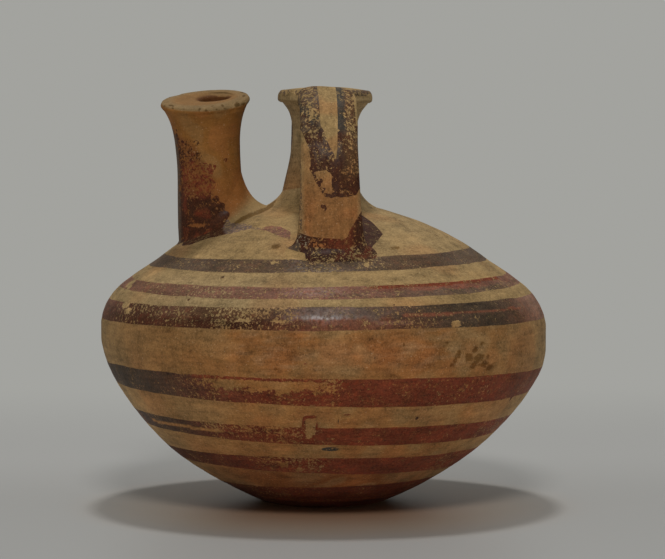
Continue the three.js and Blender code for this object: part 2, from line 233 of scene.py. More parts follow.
ROOT_PATCH = [
    (4, -14), (8.6, -16.5), (11.8, -23), (14.1, -29), (12.3, -33.3), (10.6, -36.6), (9.4, -39),
    (1, -39.6), (-5.6, -39.2), (-8.6, -37.6), (-9.6, -35.8), (-8.6, -33.6), (-5, -30),
]
ROOT_SMEAR = [(-7.4, -38.5), (-6.2, -44.5), (12.4, -43.4), (10.8, -36.8)]
LEFT_STRIPE = [
    (-9, 115), (-9, 103), (-7.3, 101.7), (-6.5, 99.5), (-5.6, 97.3), (-5.3, 94.9), (-5.1, 91.6),
    (-4.2, 91), (-2.6, 91.4), (-1.2, 91.6), (0, 90.6), (1.3, 90.5), (1.5, 93.2), (1, 94.9),
    (0.1, 97.3), (-1, 99.8), (-1.5, 101.7), (-2.3, 103), (-2.5, 107), (-2.7, 115),
]
RIGHT_STRIPE = [
    (2.3, 115), (2.2, 104.6), (1.9, 96.8), (1.5, 94.7), (1, 92.9), (0.3, 91), (0.2, 87.7),
    (0.4, 85.6), (-0.9, 84.7), (0.6, 84.9), (2.6, 84.4), (4.6, 84.7), (6.6, 85), (7.6, 86.6),
    (9, 88), (9, 101), (7, 103.5), (6.9, 109.8), (6.9, 115),
]
STRAP_ROOT = [
    (-12, 75.2), (-8.1, 75.3), (-6, 74.5), (-2.9, 74), (3.6, 73.7), (4.2, 74.2), (5, 76.2),
    (6.4, 78.3), (7.7, 80.4), (10, 83), (14, 80), (14, 69), (4, 69), (-4, 69.4), (-8.6, 70.4),
    (-14, 72),
]
SPOUT_STAIN = [
    (-13.5, 103), (-11.2, 102.2), (-8.6, 100.8), (-5.6, 99.4), (-3.2, 98), (-2.6, 95.6),
    (-1.6, 93.6), (0.4, 91.8), (1.4, 88.6), (0.9, 85.4), (0.8, 83.2), (2, 81.3), (3.6, 79.9),
    (4.8, 78.2), (6.2, 75), (5, 66), (-16, 64), (-14, 84),
]


def length(name, description, default):
    """A length that a user may change, in metres."""
    return bpy.props.FloatProperty(
        name=name, description=description, default=default, min=0, precision=4, unit="LENGTH"
    )


def colour(name, description, default):
    """A colour that a user may change."""
    return bpy.props.FloatVectorProperty(
        name=name, description=description, default=default, size=3, min=0, max=1, subtype="COLOR"
    )


def amount(name, description, default):
    """A number that a user may change, zero or more."""
    return bpy.props.FloatProperty(name=name, description=description, default=default, min=0)


def angle(name, description, degrees):
    """An angle that a user may change, given in degrees."""
    return bpy.props.FloatProperty(
        name=name, description=description, default=math.radians(degrees), subtype="ANGLE"
    )


class JarSizes(bpy.types.PropertyGroup):
    """Lengths of the jar."""

    belly_radius: length("Belly radius", "Widest radius of the body", 0.061)
    belly_height: length("Belly height", "Height of the widest place", 0.047)
    crown_height: length("Crown height", "Height of the closed top of the body", 0.0816)
    foot_radius: length("Foot radius", "Radius of the foot's edge", 0.0165)
    wall: length("Wall", "Thickness of the body's wall", 0.0042)
    floor_height: length("Floor", "Height of the floor inside the body", 0.0065)
    neck_radius: length("Neck radius", "Narrowest radius of the false neck", 0.0086)
    neck_foot_radius: length("Neck foot radius", "Radius of the false neck's foot", 0.0102)
    neck_flare_radius: length("Neck flare radius", "Radius of the neck under the disc", 0.0117)
    disc_radius: length("Disc radius", "Radius of the disc on the neck", 0.0129)
    disc_thickness: length("Disc thickness", "Thickness of the disc at its rim", 0.0035)
    disc_top: length("Disc top", "Height of the disc's rim", 0.1126)
    spout_reach: length("Spout reach", "Distance of the spout's foot from the jar's axis", 0.0304)
    spout_top: length("Spout top", "Height of the spout's lip", 0.1098)
    lip_radius: length("Lip radius", "Radius of the spout's lip", 0.0121)
    spout_radius: length("Spout radius", "Narrowest radius of the spout", 0.0088)
    spout_foot_radius: length("Spout foot radius", "Radius of the spout's foot", 0.0094)
    mouth_radius: length("Mouth radius", "Radius of the spout's mouth", 0.0041)
    bore_radius: length("Bore radius", "Radius of the bore down the spout", 0.0051)
    strap_width: length("Strap width", "Width of a strap handle", 0.0151)
    strap_thickness: length("Strap thickness", "Thickness of a strap handle", 0.0053)
    strap_reach: length("Strap reach", "Distance of a strap's root from the jar's axis", 0.0383)


class JarColours(bpy.types.PropertyGroup):
    """Colours of the clay and of the slip painted on it."""

    shoulder_clay: colour("Shoulder clay", "Buff clay of the shoulder", (0.31, 0.2, 0.083))
    belly_clay: colour("Belly clay", "Orange-brown clay of the belly", (0.268, 0.12, 0.036))
    low_clay: colour("Low clay", "Clay between the lower bands", (0.33, 0.155, 0.05))
    foot_clay: colour("Foot clay", "Red-brown clay at the foot", (0.2, 0.065, 0.018))
    flank_clay: colour("Flank clay", "Olive-buff clay of the flanks", (0.32, 0.215, 0.095))
    orange_clay: colour("Orange clay", "Clay where it fired redder", (0.345, 0.122, 0.038))
    pale_clay: colour("Pale clay", "Chalky places", (0.27, 0.22, 0.15))
    strap_clay: colour("Strap clay", "Clay of the handles' crown", (0.33, 0.215, 0.088))
    low_strap_clay: colour("Low strap clay", "Clay of the handles' lower part", (0.265, 0.12, 0.04))
    spout_clay: colour("Spout clay", "Clay of the spout", (0.26, 0.11, 0.026))
    lip_clay: colour("Lip clay", "Clay of the spout's lip", (0.235, 0.15, 0.066))
    stained_clay: colour("Stained clay", "Clay under the spout's worn slip", (0.15, 0.052, 0.017))
    scuffed_clay: colour("Scuffed clay", "Pale scuffs on the belly", (0.42, 0.26, 0.135))
    neck_clay: colour("Neck clay", "Clay of the false neck", (0.36, 0.25, 0.12))
    grey_slip: colour("Grey slip", "Grey-brown slip of the top band", (0.1, 0.066, 0.043))
    plum_slip: colour("Plum slip", "Purple-red slip", (0.195, 0.092, 0.06))
    red_plum_slip: colour("Red plum slip", "Redder purple slip", (0.18, 0.065, 0.035))
    grey_plum_slip: colour("Grey plum slip", "Purple-grey slip", (0.15, 0.105, 0.085))
    brown_slip: colour("Brown slip", "Brown slip", (0.1, 0.05, 0.022))
    black_slip: colour("Black slip", "Nearly black slip", (0.06, 0.04, 0.025))
    dark_slip: colour("Dark slip", "Dark red-brown slip", (0.055, 0.019, 0.009))
    root_slip: colour("Root slip", "Dark slip round the handles' roots", (0.048, 0.019, 0.012))
    red_slip: colour("Red slip", "Red-brown slip of the lower bands", (0.165, 0.037, 0.0155))
    foot_slip: colour("Foot slip", "Slip round the foot", (0.11, 0.025, 0.011))
    # Slip down the spout, and also the painted shade line down each strap's left edge.
    olive_slip_and_painted_shade: colour("Olive slip", "Olive-black slip down the spout", (0.12, 0.08, 0.05))
    # Painted sheen: a paler slip colour at the third band's right end.
    painted_sheen_slip: colour("Painted sheen slip", "The third band's end towards the right", (0.27, 0.15, 0.1))
    blue_grey_slip: colour("Blue-grey slip", "Weathered slip at the crown", (0.052, 0.047, 0.037))


class StageSizes(bpy.types.PropertyGroup):
    """Camera, lamps and floor."""

    camera_distance: length("Camera distance", "Camera's distance from the jar's axis", 0.8209)
    camera_height: length("Camera height", "Camera's height over the floor", 0.1113)
    camera_side: length("Camera side", "Camera's shift to its right", 0.00245)
    camera_lens: amount("Lens", "Focal length, in millimetres", 162.4)
    camera_tilt: angle("Tilt", "How far the camera looks down", 3.53)
    camera_turn: angle("Turn", "How far the camera stands from the front towards the spout", 3)
    top_lamp_distance: length("Top lamp distance", "Distance of the lamp overhead", 1.3)
    top_lamp_size: length("Top lamp size", "Width of the lamp overhead", 0.16)
    top_lamp_strength: amount("Top lamp strength", "Power of the lamp overhead, in watts", 6.7)
    top_lamp_tilt: angle("Top lamp tilt", "The overhead lamp's angle from upright", 15)
    top_lamp_turn: angle("Top lamp turn", "The overhead lamp's turn from the front to +X", 180)
    front_lamp_distance: length("Front lamp distance", "Distance of the lamp in front", 1.2)
    front_lamp_size: length("Front lamp size", "Width of the lamp in front", 0.3)
    front_lamp_strength: amount("Front lamp strength", "Power of the lamp in front, in watts", 5.4)
    front_lamp_tilt: angle("Front lamp tilt", "The front lamp's angle from upright", 46)
    front_lamp_turn: angle("Front lamp turn", "The front lamp's turn from the front to +X", -2)
    lamp_aim: length("Lamp aim", "Height of the point that the lamps are aimed at", 0.05)
    sky_strength: amount("Sky strength", "Strength of the light from all round", 0.13)
    floor_width: length("Floor width", "Width of the floor", 12)
    floor_depth: length("Floor depth", "How far the floor runs on behind the jar", 240)
    floor: colour("Floor", "Colour of the floor near the jar", (0.37, 0.368, 0.352))
    backdrop: colour("Backdrop", "Colour of the far floor and background", (0.366, 0.366, 0.345))


def jar_sizes(context):
    """The jar's lengths in millimetres, the body's finished side, and how far out and up its
    surfaces may come."""
    group = context.scene.jar_sizes
    jar = SimpleNamespace(**{name: getattr(group, name) / MM for name in JarSizes.__annotations__})
    rise = jar.crown_height - jar.belly_height
    jar.side = spline([
        (jar.foot_radius, 0),
        *((r * jar.belly_radius, z * jar.belly_height) for r, z in LOWER_SIDE),
        (jar.belly_radius, jar.belly_height),
        *((r * jar.belly_radius, jar.belly_height + z * rise) for r, z in UPPER_SIDE),
        (0, jar.crown_height),
    ], 1200)
    jar.widest = max(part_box("body")[1][0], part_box("body")[1][1]) / MM - INSET
    jar.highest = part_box("front_handle")[1][2] / MM - INSET
    return jar


def jar_colours(context):
    """The jar's colours by name."""
    group = context.scene.jar_colours
    names = JarColours.__annotations__
    return SimpleNamespace(**{name: tuple(getattr(group, name)) for name in names})


# Lines and surfaces


def spline(points, count):
    """A smooth line through points given as rows, at equal steps of its length.

    Between two points it is the cubic that has their places and slopes at its ends, where a slope
    is that of the parabola through a point and its neighbours, over the length along the points.
    """
    points = np.asarray(points, float)
    steps = np.linalg.norm(np.diff(points, axis=0), axis=1)
    along = np.concatenate([[0], np.cumsum(steps)])
    slopes = np.gradient(points, along, axis=0)
    place = np.linspace(0, along[-1], 8 * count)
    first = np.clip(np.searchsorted(along, place, side="right") - 1, 0, len(steps) - 1)
    step = steps[first][:, None]
    t = (place - along[first])[:, None] / step
    a, b, u, v = points[first], points[first + 1], slopes[first] * step, slopes[first + 1] * step
    line = a + t * u + t**2 * (3 * (b - a) - 2 * u - v) + t**3 * (2 * (a - b) + u + v)
    return even(line, count)


def even(line, count):
    """The same line of points at equal steps of its length."""
    steps = np.linalg.norm(np.diff(line, axis=0), axis=1)
    along = np.concatenate([[0], np.cumsum(steps)])
    wanted = np.linspace(0, along[-1], count)
    return np.stack([np.interp(wanted, along, column) for column in line.T], axis=1)


def smooth(value, low, high):
    """0 below low, 1 above high, and 3t^2 - 2t^3 of the share t between."""
    t = np.clip((value - low) / (high - low), 0, 1)
    return t * t * (3 - 2 * t)


def waves(places, size, seed, count=20):
    """A soft irregular field of about -2 to 2: the sum of sine waves in directions and phases drawn
    from a seed, whose lengths are about the given size."""
    draw = np.random.default_rng(seed)
    ways = draw.normal(size=(3, count))
    ways *= 2 * math.pi / np.linalg.norm(ways, axis=0) / (size * draw.uniform(0.7, 1.5, count))
    phases = draw.uniform(0, 2 * math.pi, count)
    return np.sin(places @ ways + phases).sum(axis=-1) * math.sqrt(2 / count)


def angles(count):
    """Turns about the jar's axis from the front towards +X."""
    return np.arange(count) * 2 * math.pi / count


def round_axis(reach, turn, height, x=0, y=0):
    """Points (x + reach sin(turn), y - reach cos(turn), height), round an upright axis."""
    reach, turn, height = np.broadcast_arrays(reach, turn, height)
    return np.stack([x + reach * np.sin(turn), y - reach * np.cos(turn), height], axis=-1)


def turned(line, columns):
    """A line of (reach, height) rows carried round the jar's axis."""
    return round_axis(line[:, :1], angles(columns), line[:, 1:])


def direction(line):
    """The way along a line at each of its points, one long."""
    way = np.gradient(line, axis=0)
    return way / np.linalg.norm(way, axis=1)[:, None]


def ring_rows(start, end, count):
    """Points from start towards end at equal steps, without start."""
    return np.linspace(start, end, count + 1)[1:]


def shoulder_height(jar, reach):
    """Height of the shoulder at a distance from the axis, read off the body's side."""
    upper = jar.side[jar.side[:, 1] > jar.belly_height][::-1]
    return np.interp(reach, upper[:, 0], upper[:, 1])


def under_shoulder(jar, places):
    """Points over the given ones in plan, a little under the shoulder."""
    x, y = places[:, 0], places[:, 1]
    return np.stack([x, y, shoulder_height(jar, np.hypot(x, y)) - SUNK], axis=-1)


# Meshes


def flat(grid, ring):
    """The grid's points as rows. A grid that is no ring has one point for each of its ends."""
    if ring:
        return grid.reshape(-1, grid.shape[-1])
    inner = grid[1:-1].reshape(-1, grid.shape[-1])
    return np.concatenate([inner, grid[0, :1], grid[-1, :1]])


def faces_of(rows, columns, ring):
    """Four-sided faces between neighbours of a grid whose columns meet, and three-sided ones round
    the points that close its two ends."""
    inner = rows if ring else rows - 2
    row = np.arange(inner if ring else inner - 1)[:, None] * columns
    below = (row + columns) % (inner * columns)
    side = np.arange(columns)[None, :]
    beside = (side + 1) % columns
    quads = np.stack([row + side, row + beside, below + beside, below + side], axis=-1)
    quads = quads.reshape(-1, 4)
    if ring:
        return quads, np.empty((0, 3), int)
    start, end = inner * columns, inner * columns + 1
    low, side, beside = (inner - 1) * columns, side[0], beside[0]
    first = np.stack([np.full(columns, start), beside, side], axis=-1)
    last = np.stack([low + side, low + beside, np.full(columns, end)], axis=-1)
    return quads, np.concatenate([first, last])


def enclosed(places, quads, triangles):
    """Volume inside the faces; it is negative where they point inwards."""
    corners = np.concatenate([triangles, quads[:, :3], quads[:, [0, 2, 3]]])
    a, b, c = (places[corners[:, corner]] for corner in range(3))
    return (a * np.cross(b, c)).sum() / 6


def new_piece(name, grid, ring=False):
    """A closed mesh from a grid of points in millimetres, its faces pointing outwards."""
    places = flat(grid, ring)
    quads, triangles = faces_of(grid.shape[0], grid.shape[1], ring)
    if enclosed(places, quads, triangles) < 0:
        quads, triangles = quads[:, ::-1], triangles[:, ::-1]
    mesh = bpy.data.meshes.new(name)
    mesh.vertices.add(len(places))
    mesh.vertices.foreach_set("co", (places * MM).astype(np.float32).ravel())
    corners = np.concatenate([quads.ravel(), triangles.ravel()])
    starts = np.concatenate([
        np.arange(len(quads)) * 4, len(quads) * 4 + np.arange(len(triangles)) * 3,
    ])
    mesh.loops.add(len(corners))
    mesh.loops.foreach_set("vertex_index", corners.astype(np.int32))
    mesh.polygons.add(len(starts))
    mesh.polygons.foreach_set("loop_start", starts.astype(np.int32))
    mesh.update(calc_edges=True)
    if mesh.validate():
        raise RuntimeError(f"{name} has broken faces")
    mesh.shade_smooth()
    mesh.set_sharp_from_angle(angle=math.radians(50))
    piece = bpy.data.objects.new(name, mesh)
    bpy.context.scene.collection.objects.link(piece)
    return piece


def places_of(piece):
    """A piece's points in millimetres, as rows."""
    places = np.empty(len(piece.data.vertices) * 3, np.float32)
    piece.data.vertices.foreach_get("co", places)
    return places.reshape(-1, 3).astype(float) / MM


def add_field(piece, name, values):
    """A number for each point of a piece, which its material reads by name."""
    layer = piece.data.attributes.new(name, "FLOAT", "POINT")
    layer.data.foreach_set("value", values.astype(np.float32))


def add_tone(piece, name, colours):
    """A colour for each point of a piece, which its material reads by name."""
    layer = piece.data.attributes.new(name, "FLOAT_COLOR", "POINT")
    rows = np.concatenate([colours, np.ones((len(colours), 1))], axis=1)
    layer.data.foreach_set("color", rows.astype(np.float32).ravel())


def cut_away(piece, cutter):
    """Takes a closed cutter out of a piece, and the cutter out of the scene."""
    cut = piece.modifiers.new("Cut", "BOOLEAN")
    cut.operation = "DIFFERENCE"
    cut.solver = "MANIFOLD"
    cut.object = cutter
    shaped = piece.evaluated_get(bpy.context.evaluated_depsgraph_get())
    mesh = bpy.data.meshes.new_from_object(shaped)
    if len(mesh.vertices) in (0, len(piece.data.vertices)):
        raise RuntimeError(f"{cutter.name} took nothing out of {piece.name}")
    old = piece.data
    piece.modifiers.clear()
    piece.data = mesh
    mesh.name = piece.name
    for unused in (old, cutter.data):
        bpy.data.meshes.remove(unused)


def settle(piece, slot, *nodes):
    """A finished piece rides with the jar and stands for its solids. The slot is not used."""
    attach(piece, "root")
    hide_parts(*nodes)


# Shapes


def body_line(jar):
    """The body's cut face from pole to pole, and the rows of it that are the outside. It runs under
    the foot, up the side to the hole in the crown, and back down inside at the wall's thickness."""
    reach = np.linspace(0, HOLLOW - 0.5, 10)
    hollow = np.stack([reach, HOLLOW_RISE - HOLLOW_RISE * reach**2 / HOLLOW**2], axis=1)
    foot = [(HOLLOW, 0.02), (HOLLOW + 0.5, 0), (jar.foot_radius - 2.5, 0), (jar.foot_radius, 0)]
    outer = even(jar.side[jar.side[:, 0] > CROWN_HOLE][1:], 262)
    way = direction(jar.side)
    inner = jar.side + jar.wall * np.stack([-way[:, 1], way[:, 0]], axis=1)
    inner = inner[(inner[:, 1] > jar.floor_height) & (inner[:, 0] > CROWN_HOLE)]
    inner = even(inner, 36)[::-1]
    edge = np.linspace(outer[-1], inner[0], 6)[1:-1]
    floor = ring_rows((inner[-1][0], jar.floor_height), (0, jar.floor_height), 6)
    start = len(hollow) + len(foot)
    line = np.concatenate([hollow, foot, outer, edge, inner, floor])
    return line, slice(start, start + len(outer))


def make_body_grid(jar, columns=300):
    """The body's line carried round, its outside pushed in and out by a few hundredths of a
    millimetre: rings left by the wheel, and soft unevenness."""
    line, rows = body_line(jar)
    grid = turned(line, columns)
    outside = grid[rows]
    height, reach = outside[..., 2], np.hypot(outside[..., 0], outside[..., 1])
    fade = smooth(height, 0.5, 6) * smooth(reach, CROWN_HOLE, 12)
    wobble = 2 * waves(outside / [4, 4, 1], 30, 3)
    rings = 0.016 * np.sin(2 * math.pi * height / WHEEL_STEP + wobble)
    uneven = 0.07 * waves(outside, 26, 5) + 0.018 * waves(outside, 7, 7)
    push = fade * (rings + uneven)
    way = direction(line[rows])
    wider = np.minimum(reach + push * way[:, 1:], jar.widest) / reach
    outside[..., :2] *= wider[..., None]
    outside[..., 2] -= push * way[:, :1]
    return grid


def neck_line(jar):
    """The false neck's side from its seat on the crown to the flare, and the seat's height."""
    seat = float(shoulder_height(jar, CROWN_HOLE)) + SEAM
    height = jar.disc_top - jar.disc_thickness - seat
    points = [
        (jar.neck_radius + r * (end - jar.neck_radius), seat + z * height)
        for end, shares in ((jar.neck_foot_radius, NECK_FOOT), (jar.neck_flare_radius, NECK_FLARE))
        for r, z in shares
    ]
    return spline(points, 70), seat


def aside(jar, grid):
    """Moves the top of the neck and its disc a little towards +X."""
    grid[..., 0] += NECK_SHIFT * smooth(grid[..., 2], jar.disc_top - 18, jar.disc_top - 3)
    return grid


def neck_spread(places):
    """How far the neck's foot spreads beyond its round shape, most of all towards the spout."""
    reach = np.maximum(np.hypot(places[..., 0], places[..., 1]), 1e-6)
    to_spout = (1 - places[..., 0] / reach) / 2
    spread = 1.5 * to_spout**2 * (1 - smooth(places[..., 2], 83, 102)) * smooth(reach, 7.9, 8.2)
    return places * np.stack([1 + spread / reach, 1 + spread / reach, np.ones_like(reach)], axis=-1)


def make_neck_grid(jar):
    """Plug, neck and flare turned about the axis, a little uneven."""
    side, seat = neck_line(jar)
    base = seat - PLUG_DEPTH
    line = np.concatenate([
        [(0, base)], ring_rows((0, base), (PLUG, base), 3),
        ring_rows((PLUG, base), (PLUG, seat), 4), side, ring_rows(side[-1], (0, side[-1][1]), 4),
    ])
    grid = turned(line, 144)
    grid[8:-4, :, :2] *= (1 + 0.006 * waves(grid[8:-4], 14, 11))[..., None]
    return aside(jar, neck_spread(grid))


def make_disc_grid(jar):
    """The disc's rounded rim and low dome turned about the axis, a little uneven."""
    low = jar.disc_top - jar.disc_thickness
    rim = spline([
        (jar.disc_radius - inward * jar.disc_thickness, low + up * jar.disc_thickness)
        for inward, up in DISC_RIM
    ], 24)
    reach = np.linspace(rim[-1][0], 0, 12)[1:]
    top = np.stack([reach, jar.disc_top + DOME * (1 - (reach / rim[-1][0]) ** 2)], axis=1)
    line = np.concatenate([[(0, low)], ring_rows((0, low), rim[0], 4), rim[1:], top])
    grid = turned(line, 144)
    grid[5:-1, :, :2] *= (1 + 0.012 * waves(grid[5:-1], 12, 13))[..., None]
    return aside(jar, grid)


def spout_foot(jar):
    """Height of the shoulder where the spout's axis meets it."""
    return float(shoulder_height(jar, jar.spout_reach))


def lean_out(jar, places):
    """Turns points about the foot of the spout's axis so that the spout leans outwards, and moves
    them there."""
    up = places[..., 2] - spout_foot(jar)
    x = places[..., 0] * math.cos(LEAN) - up * math.sin(LEAN) - jar.spout_reach
    z = places[..., 0] * math.sin(LEAN) + up * math.cos(LEAN) + spout_foot(jar)
    return np.stack([x, places[..., 1], z], axis=-1)


def dip(jar, places):
    """Lets the lip's plane fall to the front and outwards, fading out at the narrowest place."""
    fade = smooth(places[..., 2], jar.spout_top - FLARE, jar.spout_top)
    fall = 0.2 * places[..., 1] + 0.03 * places[..., 0]
    return places + np.stack([0 * fall, 0 * fall, fade * fall], axis=-1)


def spout_side(jar):
    """The spout's outside from foot to lip, as (reach, height) rows."""
    radius, top = jar.spout_radius, jar.spout_top
    overhang = jar.lip_radius - radius
    return spline([
        (jar.spout_foot_radius, spout_foot(jar)),
        *((radius + r * overhang, top - z * FLARE) for r, z in SPOUT_SIDE[::-1]),
    ], 300)


def rest_on_shoulder(jar, reach, turn, shift=0, above=0.0):
    """Heights at which an upright line at a reach and turn from the spout's axis meets the
    shoulder, found by lowering it four times."""
    height = np.full_like(turn, spout_foot(jar))
    for _ in range(4):
        there = lean_out(jar, round_axis(reach, turn, height, shift))
        shoulder = shoulder_height(jar, np.hypot(there[:, 0], there[:, 1]))
        height = height + shoulder + above - there[:, 2]
    return height


def make_spout_grid(jar, columns=208):
    """The spout's wall carried round its own axis: up the outside from the shoulder, over the broad
    lip, in to the small mouth and down the bore to the shoulder again."""
    turn = angles(columns)
    side = spout_side(jar)
    waist = jar.spout_top - FLARE
    low = rest_on_shoulder(jar, jar.spout_foot_radius, turn, 0, 0.05)
    lower = low + np.linspace(0, 1, 64)[:, None] * (waist - low)
    upper = even(side[side[:, 1] > waist], 72)[1:]
    # Lip, mouth and bore: reach, drop below the top, shift to the neck, and shift to the back.
    mouth = jar.mouth_radius
    inside = spline([
        (upper[-1][0], 0, 0, 0), (10.2, -0.25, 0.1, 0.2), (8.4, -0.15, 0.9, 1.1),
        (6.4, 0.1, 1.7, 2.3), (5.2, 0.45, 2.3, 3.2), (mouth, 1.1, 2.5, 3.5),
        (mouth - 0.25, 2.4, 2.4, 3.4), (mouth, 5, 1.8, 2.2), (jar.bore_radius, 9, 0.9, 0.6),
        (jar.bore_radius, 14, BORE_SHIFT, 0),
    ], 84)[1:]
    high = jar.spout_top - inside[-1][1]
    bore_low = rest_on_shoulder(jar, jar.bore_radius, turn, BORE_SHIFT, 0.05)
    bore = high + np.linspace(0, 1, 18)[1:, None] * (bore_low - high)
    reach, drop, shift, back = inside.T[..., None]
    local = np.concatenate([
        round_axis(np.interp(lower, side[:, 1], side[:, 0]), turn, lower),
        round_axis(upper[:, :1], turn, upper[:, 1:]),
        round_axis(reach, turn, jar.spout_top - drop, shift, back),
        round_axis(jar.bore_radius, turn, bore, BORE_SHIFT),
    ])
    fade = smooth(local[..., 2], low + 2, low + 8)
    local[..., :2] *= (1 + 0.006 * fade * waves(local, 13, 17))[..., None]
    return lean_out(jar, dip(jar, chip_lip(local)))


def chip_lip(local):
    """Takes a flake off the lip's front right edge and a few crumbs off the rest of its edge."""
    reach = np.hypot(local[..., 0], local[..., 1])
    turn = np.degrees(np.arctan2(local[..., 0], -local[..., 1]))
    edge = smooth(reach, 9.2, 12) * smooth(local[..., 2], 106.5, 109)
    flake = smooth(turn, 22, 38) * (1 - smooth(turn, 62, 84))
    crumbs = smooth(waves(local, 6, 19), 0.6, 1.8) * 0.12
    take = edge * np.maximum(flake, crumbs)
    local[..., :2] *= (1 - 0.07 * take)[..., None]
    local[..., 2] -= take * (0.6 + 0.2 * waves(local, 2.5, 23))
    return local


def strap_middle(jar):
    """The strap's middle line as (reach, height) rows, from inside the disc to the root."""
    start = jar.disc_radius + 0.3
    crown = jar.disc_top + 1 - jar.strap_thickness / 2
    span = jar.strap_reach - start
    fall = crown - float(shoulder_height(jar, jar.strap_reach))
    return spline([(start + out * span, crown - down * fall) for out, down in STRAP_PATH], 190)


def strap_point(jar, along, turn):
    """Points of a strap at the rear, for steps along its middle line and turns round its section.

    The section is a flattened oval: half the width times cos(turn) to the power 0.7, and half the
    thickness times sin(turn) to the power 0.8, signs kept. It widens by 0.3 of itself to the root,
    as the fifth power of the way along.
    """
    middle = strap_middle(jar)
    steps = np.linspace(0, 1, len(middle))
    reach, height, out, up = (
        np.interp(along, steps, column) for column in (*middle.T, *direction(middle).T)
    )
    widen = 1 + 0.3 * np.clip((along - 0.12) / 0.88, 0, 1) ** 5
    cos, sin = np.cos(turn), np.sin(turn)
    across = jar.strap_width / 2 * widen * np.sign(cos) * np.abs(cos) ** 0.7
    rise = jar.strap_thickness / 2 * np.sign(sin) * np.abs(sin) ** 0.8
    return np.stack([across, reach - up * rise, height + out * rise], axis=-1)


def make_strap_grid(jar, seed, rows=170, columns=72):
    """The strap as a tube of sections with closed ends, a little uneven, its crown pressed flat and
    falling by a few tenths towards one edge."""
    along = np.linspace(0, 1, rows)[:, None]
    turn = angles(columns)[None, :]
    grid = strap_point(jar, *np.broadcast_arrays(along, turn))
    grid = grid + 0.07 * waves(grid, 11, seed)[..., None] * np.array([1, 0.6, 0.6])
    fall = smooth(grid[..., 2], CROWN - 6.5, CROWN - 1) * np.clip(1 - grid[..., 0], 0, 9)
    grid[..., 2] = np.minimum(grid[..., 2], CROWN) - 0.06 * fall
    ends = [np.broadcast_to(grid[row].mean(axis=0), (1, columns, 3)) for row in (0, -1)]
    return np.concatenate([ends[0], grid, ends[1]])


def fillet_grid(top, corner, foot, inner, rows=20):
    """A bead of clay in a corner. For each turn round it, its face is the curve
    (1-t)^2 top + 2t(1-t) corner + t^2 foot, and its back runs behind it by an inner corner."""
    t = np.linspace(0, 1, rows)[:, None, None]
    face = (1 - t) ** 2 * top + 2 * t * (1 - t) * corner + t**2 * foot
    sink = np.array([0, 0, -0.5])
    back = np.stack([foot + sink, inner + sink, top + 0.5 * (inner - corner)])
    return np.concatenate([face, back])


def bead(jar, top, corner, away, wide):
    """A fillet from its top to the shoulder, which it meets at a width away from its corner."""
    foot = under_shoulder(jar, corner + away * wide[:, None])
    return fillet_grid(top, corner, foot, corner - 0.6 * away)


def make_neck_collar_grid(jar, columns=144):
    """The bead between the neck's foot and the shoulder, fuller on the spout's side."""
    turn = angles(columns)
    side, _ = neck_line(jar)
    away = round_axis(1, turn, 0)
    to_spout = (1 - np.sin(turn)) / 2
    height = float(shoulder_height(jar, 13)) + 7.2 + 0.8 * np.sin(2 * turn + 2)
    top = round_axis(np.interp(height, side[:, 1], side[:, 0]), turn, height)
    foot = away * (16.5 + 2.2 * to_spout + 0.3 * np.sin(3 * turn))[:, None]
    low = shoulder_height(jar, 9.4)
    corner = round_axis(10.4 + 0.9 * to_spout, turn, low + 0.6 + 0.3 * to_spout)
    inner = round_axis(8.8, turn, low + 0.4)
    return fillet_grid(neck_spread(top) - 0.25 * away, corner, under_shoulder(jar, foot), inner)


def make_spout_collar_grid(jar, columns=144):
    """The bead round the spout's foot: high on the side of the neck, low on the outside."""
    turn = angles(columns)
    side = spout_side(jar)
    to_neck = (1 + np.sin(turn)) / 2
    low = rest_on_shoulder(jar, jar.spout_foot_radius, turn)
    high = low + 1.4 + 10.8 * to_neck**2.2
    top = round_axis(np.interp(high, side[:, 1], side[:, 0]) - 0.2, turn, high)
    reach = jar.spout_foot_radius + 0.8 * to_neck**3
    corner = round_axis(reach, turn, low + 0.1 + 1.2 * to_neck**3)
    wide = 1.2 + 6.2 * to_neck**1.8
    return bead(jar, lean_out(jar, top), lean_out(jar, corner), round_axis(1, turn, 0), wide)


def make_root_grid(jar, columns=160):
    """The bead round a strap's root. At each turn round the strap's section, the place where the
    strap meets the shoulder is found, and the bead runs from above it to beside it."""
    turn = angles(columns)
    strap = strap_point(jar, *np.broadcast_arrays(np.linspace(0.3, 1, 500)[:, None], turn))
    over = strap[..., 2] - shoulder_height(jar, np.hypot(strap[..., 0], strap[..., 1]))
    outer, side = np.clip(np.sin(turn), 0, 1), np.abs(np.cos(turn))

    def where_over(limit):
        """The first points along the strap that are less than a limit over the shoulder."""
        return strap[np.argmax(over < limit, axis=0), np.arange(columns)]

    corner = where_over(0.05)
    away = (corner - corner.mean(axis=0)) * [1, 1, 0]
    away /= np.linalg.norm(away, axis=1)[:, None]
    top = where_over(2.4 + 2.6 * side**2 + 0.6 * outer) - 0.2 * away
    return bead(jar, top, corner, away, 1.8 + 2.2 * side**2 + 1.2 * outer)


def untrue(jar, places):
    """The jar's small faults as a thrown pot. All heights fall towards +X, by 0.55 mm there and
    -0.3 mm at -X, and the side under the belly stands out there by up to 0.9 mm."""
    x, y, z = np.moveaxis(places, -1, 0)
    reach = np.hypot(x, y)
    side = x / np.maximum(reach, 1)
    fall = (0.42 * side + 0.13 * side**2) * smooth(z, 6, 45) * smooth(reach, 4, 26)
    full = smooth(reach, jar.wall, 16) * smooth(z, 10, 30) * (1 - smooth(z, 36, 46.5))
    wider = reach + 0.9 * full * np.clip(side, 0, 1) ** 2
    bulge = np.minimum(wider, np.maximum(reach, jar.widest)) / np.maximum(reach, 1e-6)
    bulge = np.where(reach > 1, bulge, 1)
    return np.stack([x * bulge, y * bulge, z - fall], axis=-1)


# Paint: where slip lies, how far it is rubbed off, and the colours of slip and clay


def banded(places, plane):
    """Height of a painted edge at each point, from its height on the axis and its slopes towards
    +X and +Y."""
    return plane[0] + plane[1] * places[:, 0] + plane[2] * places[:, 1]


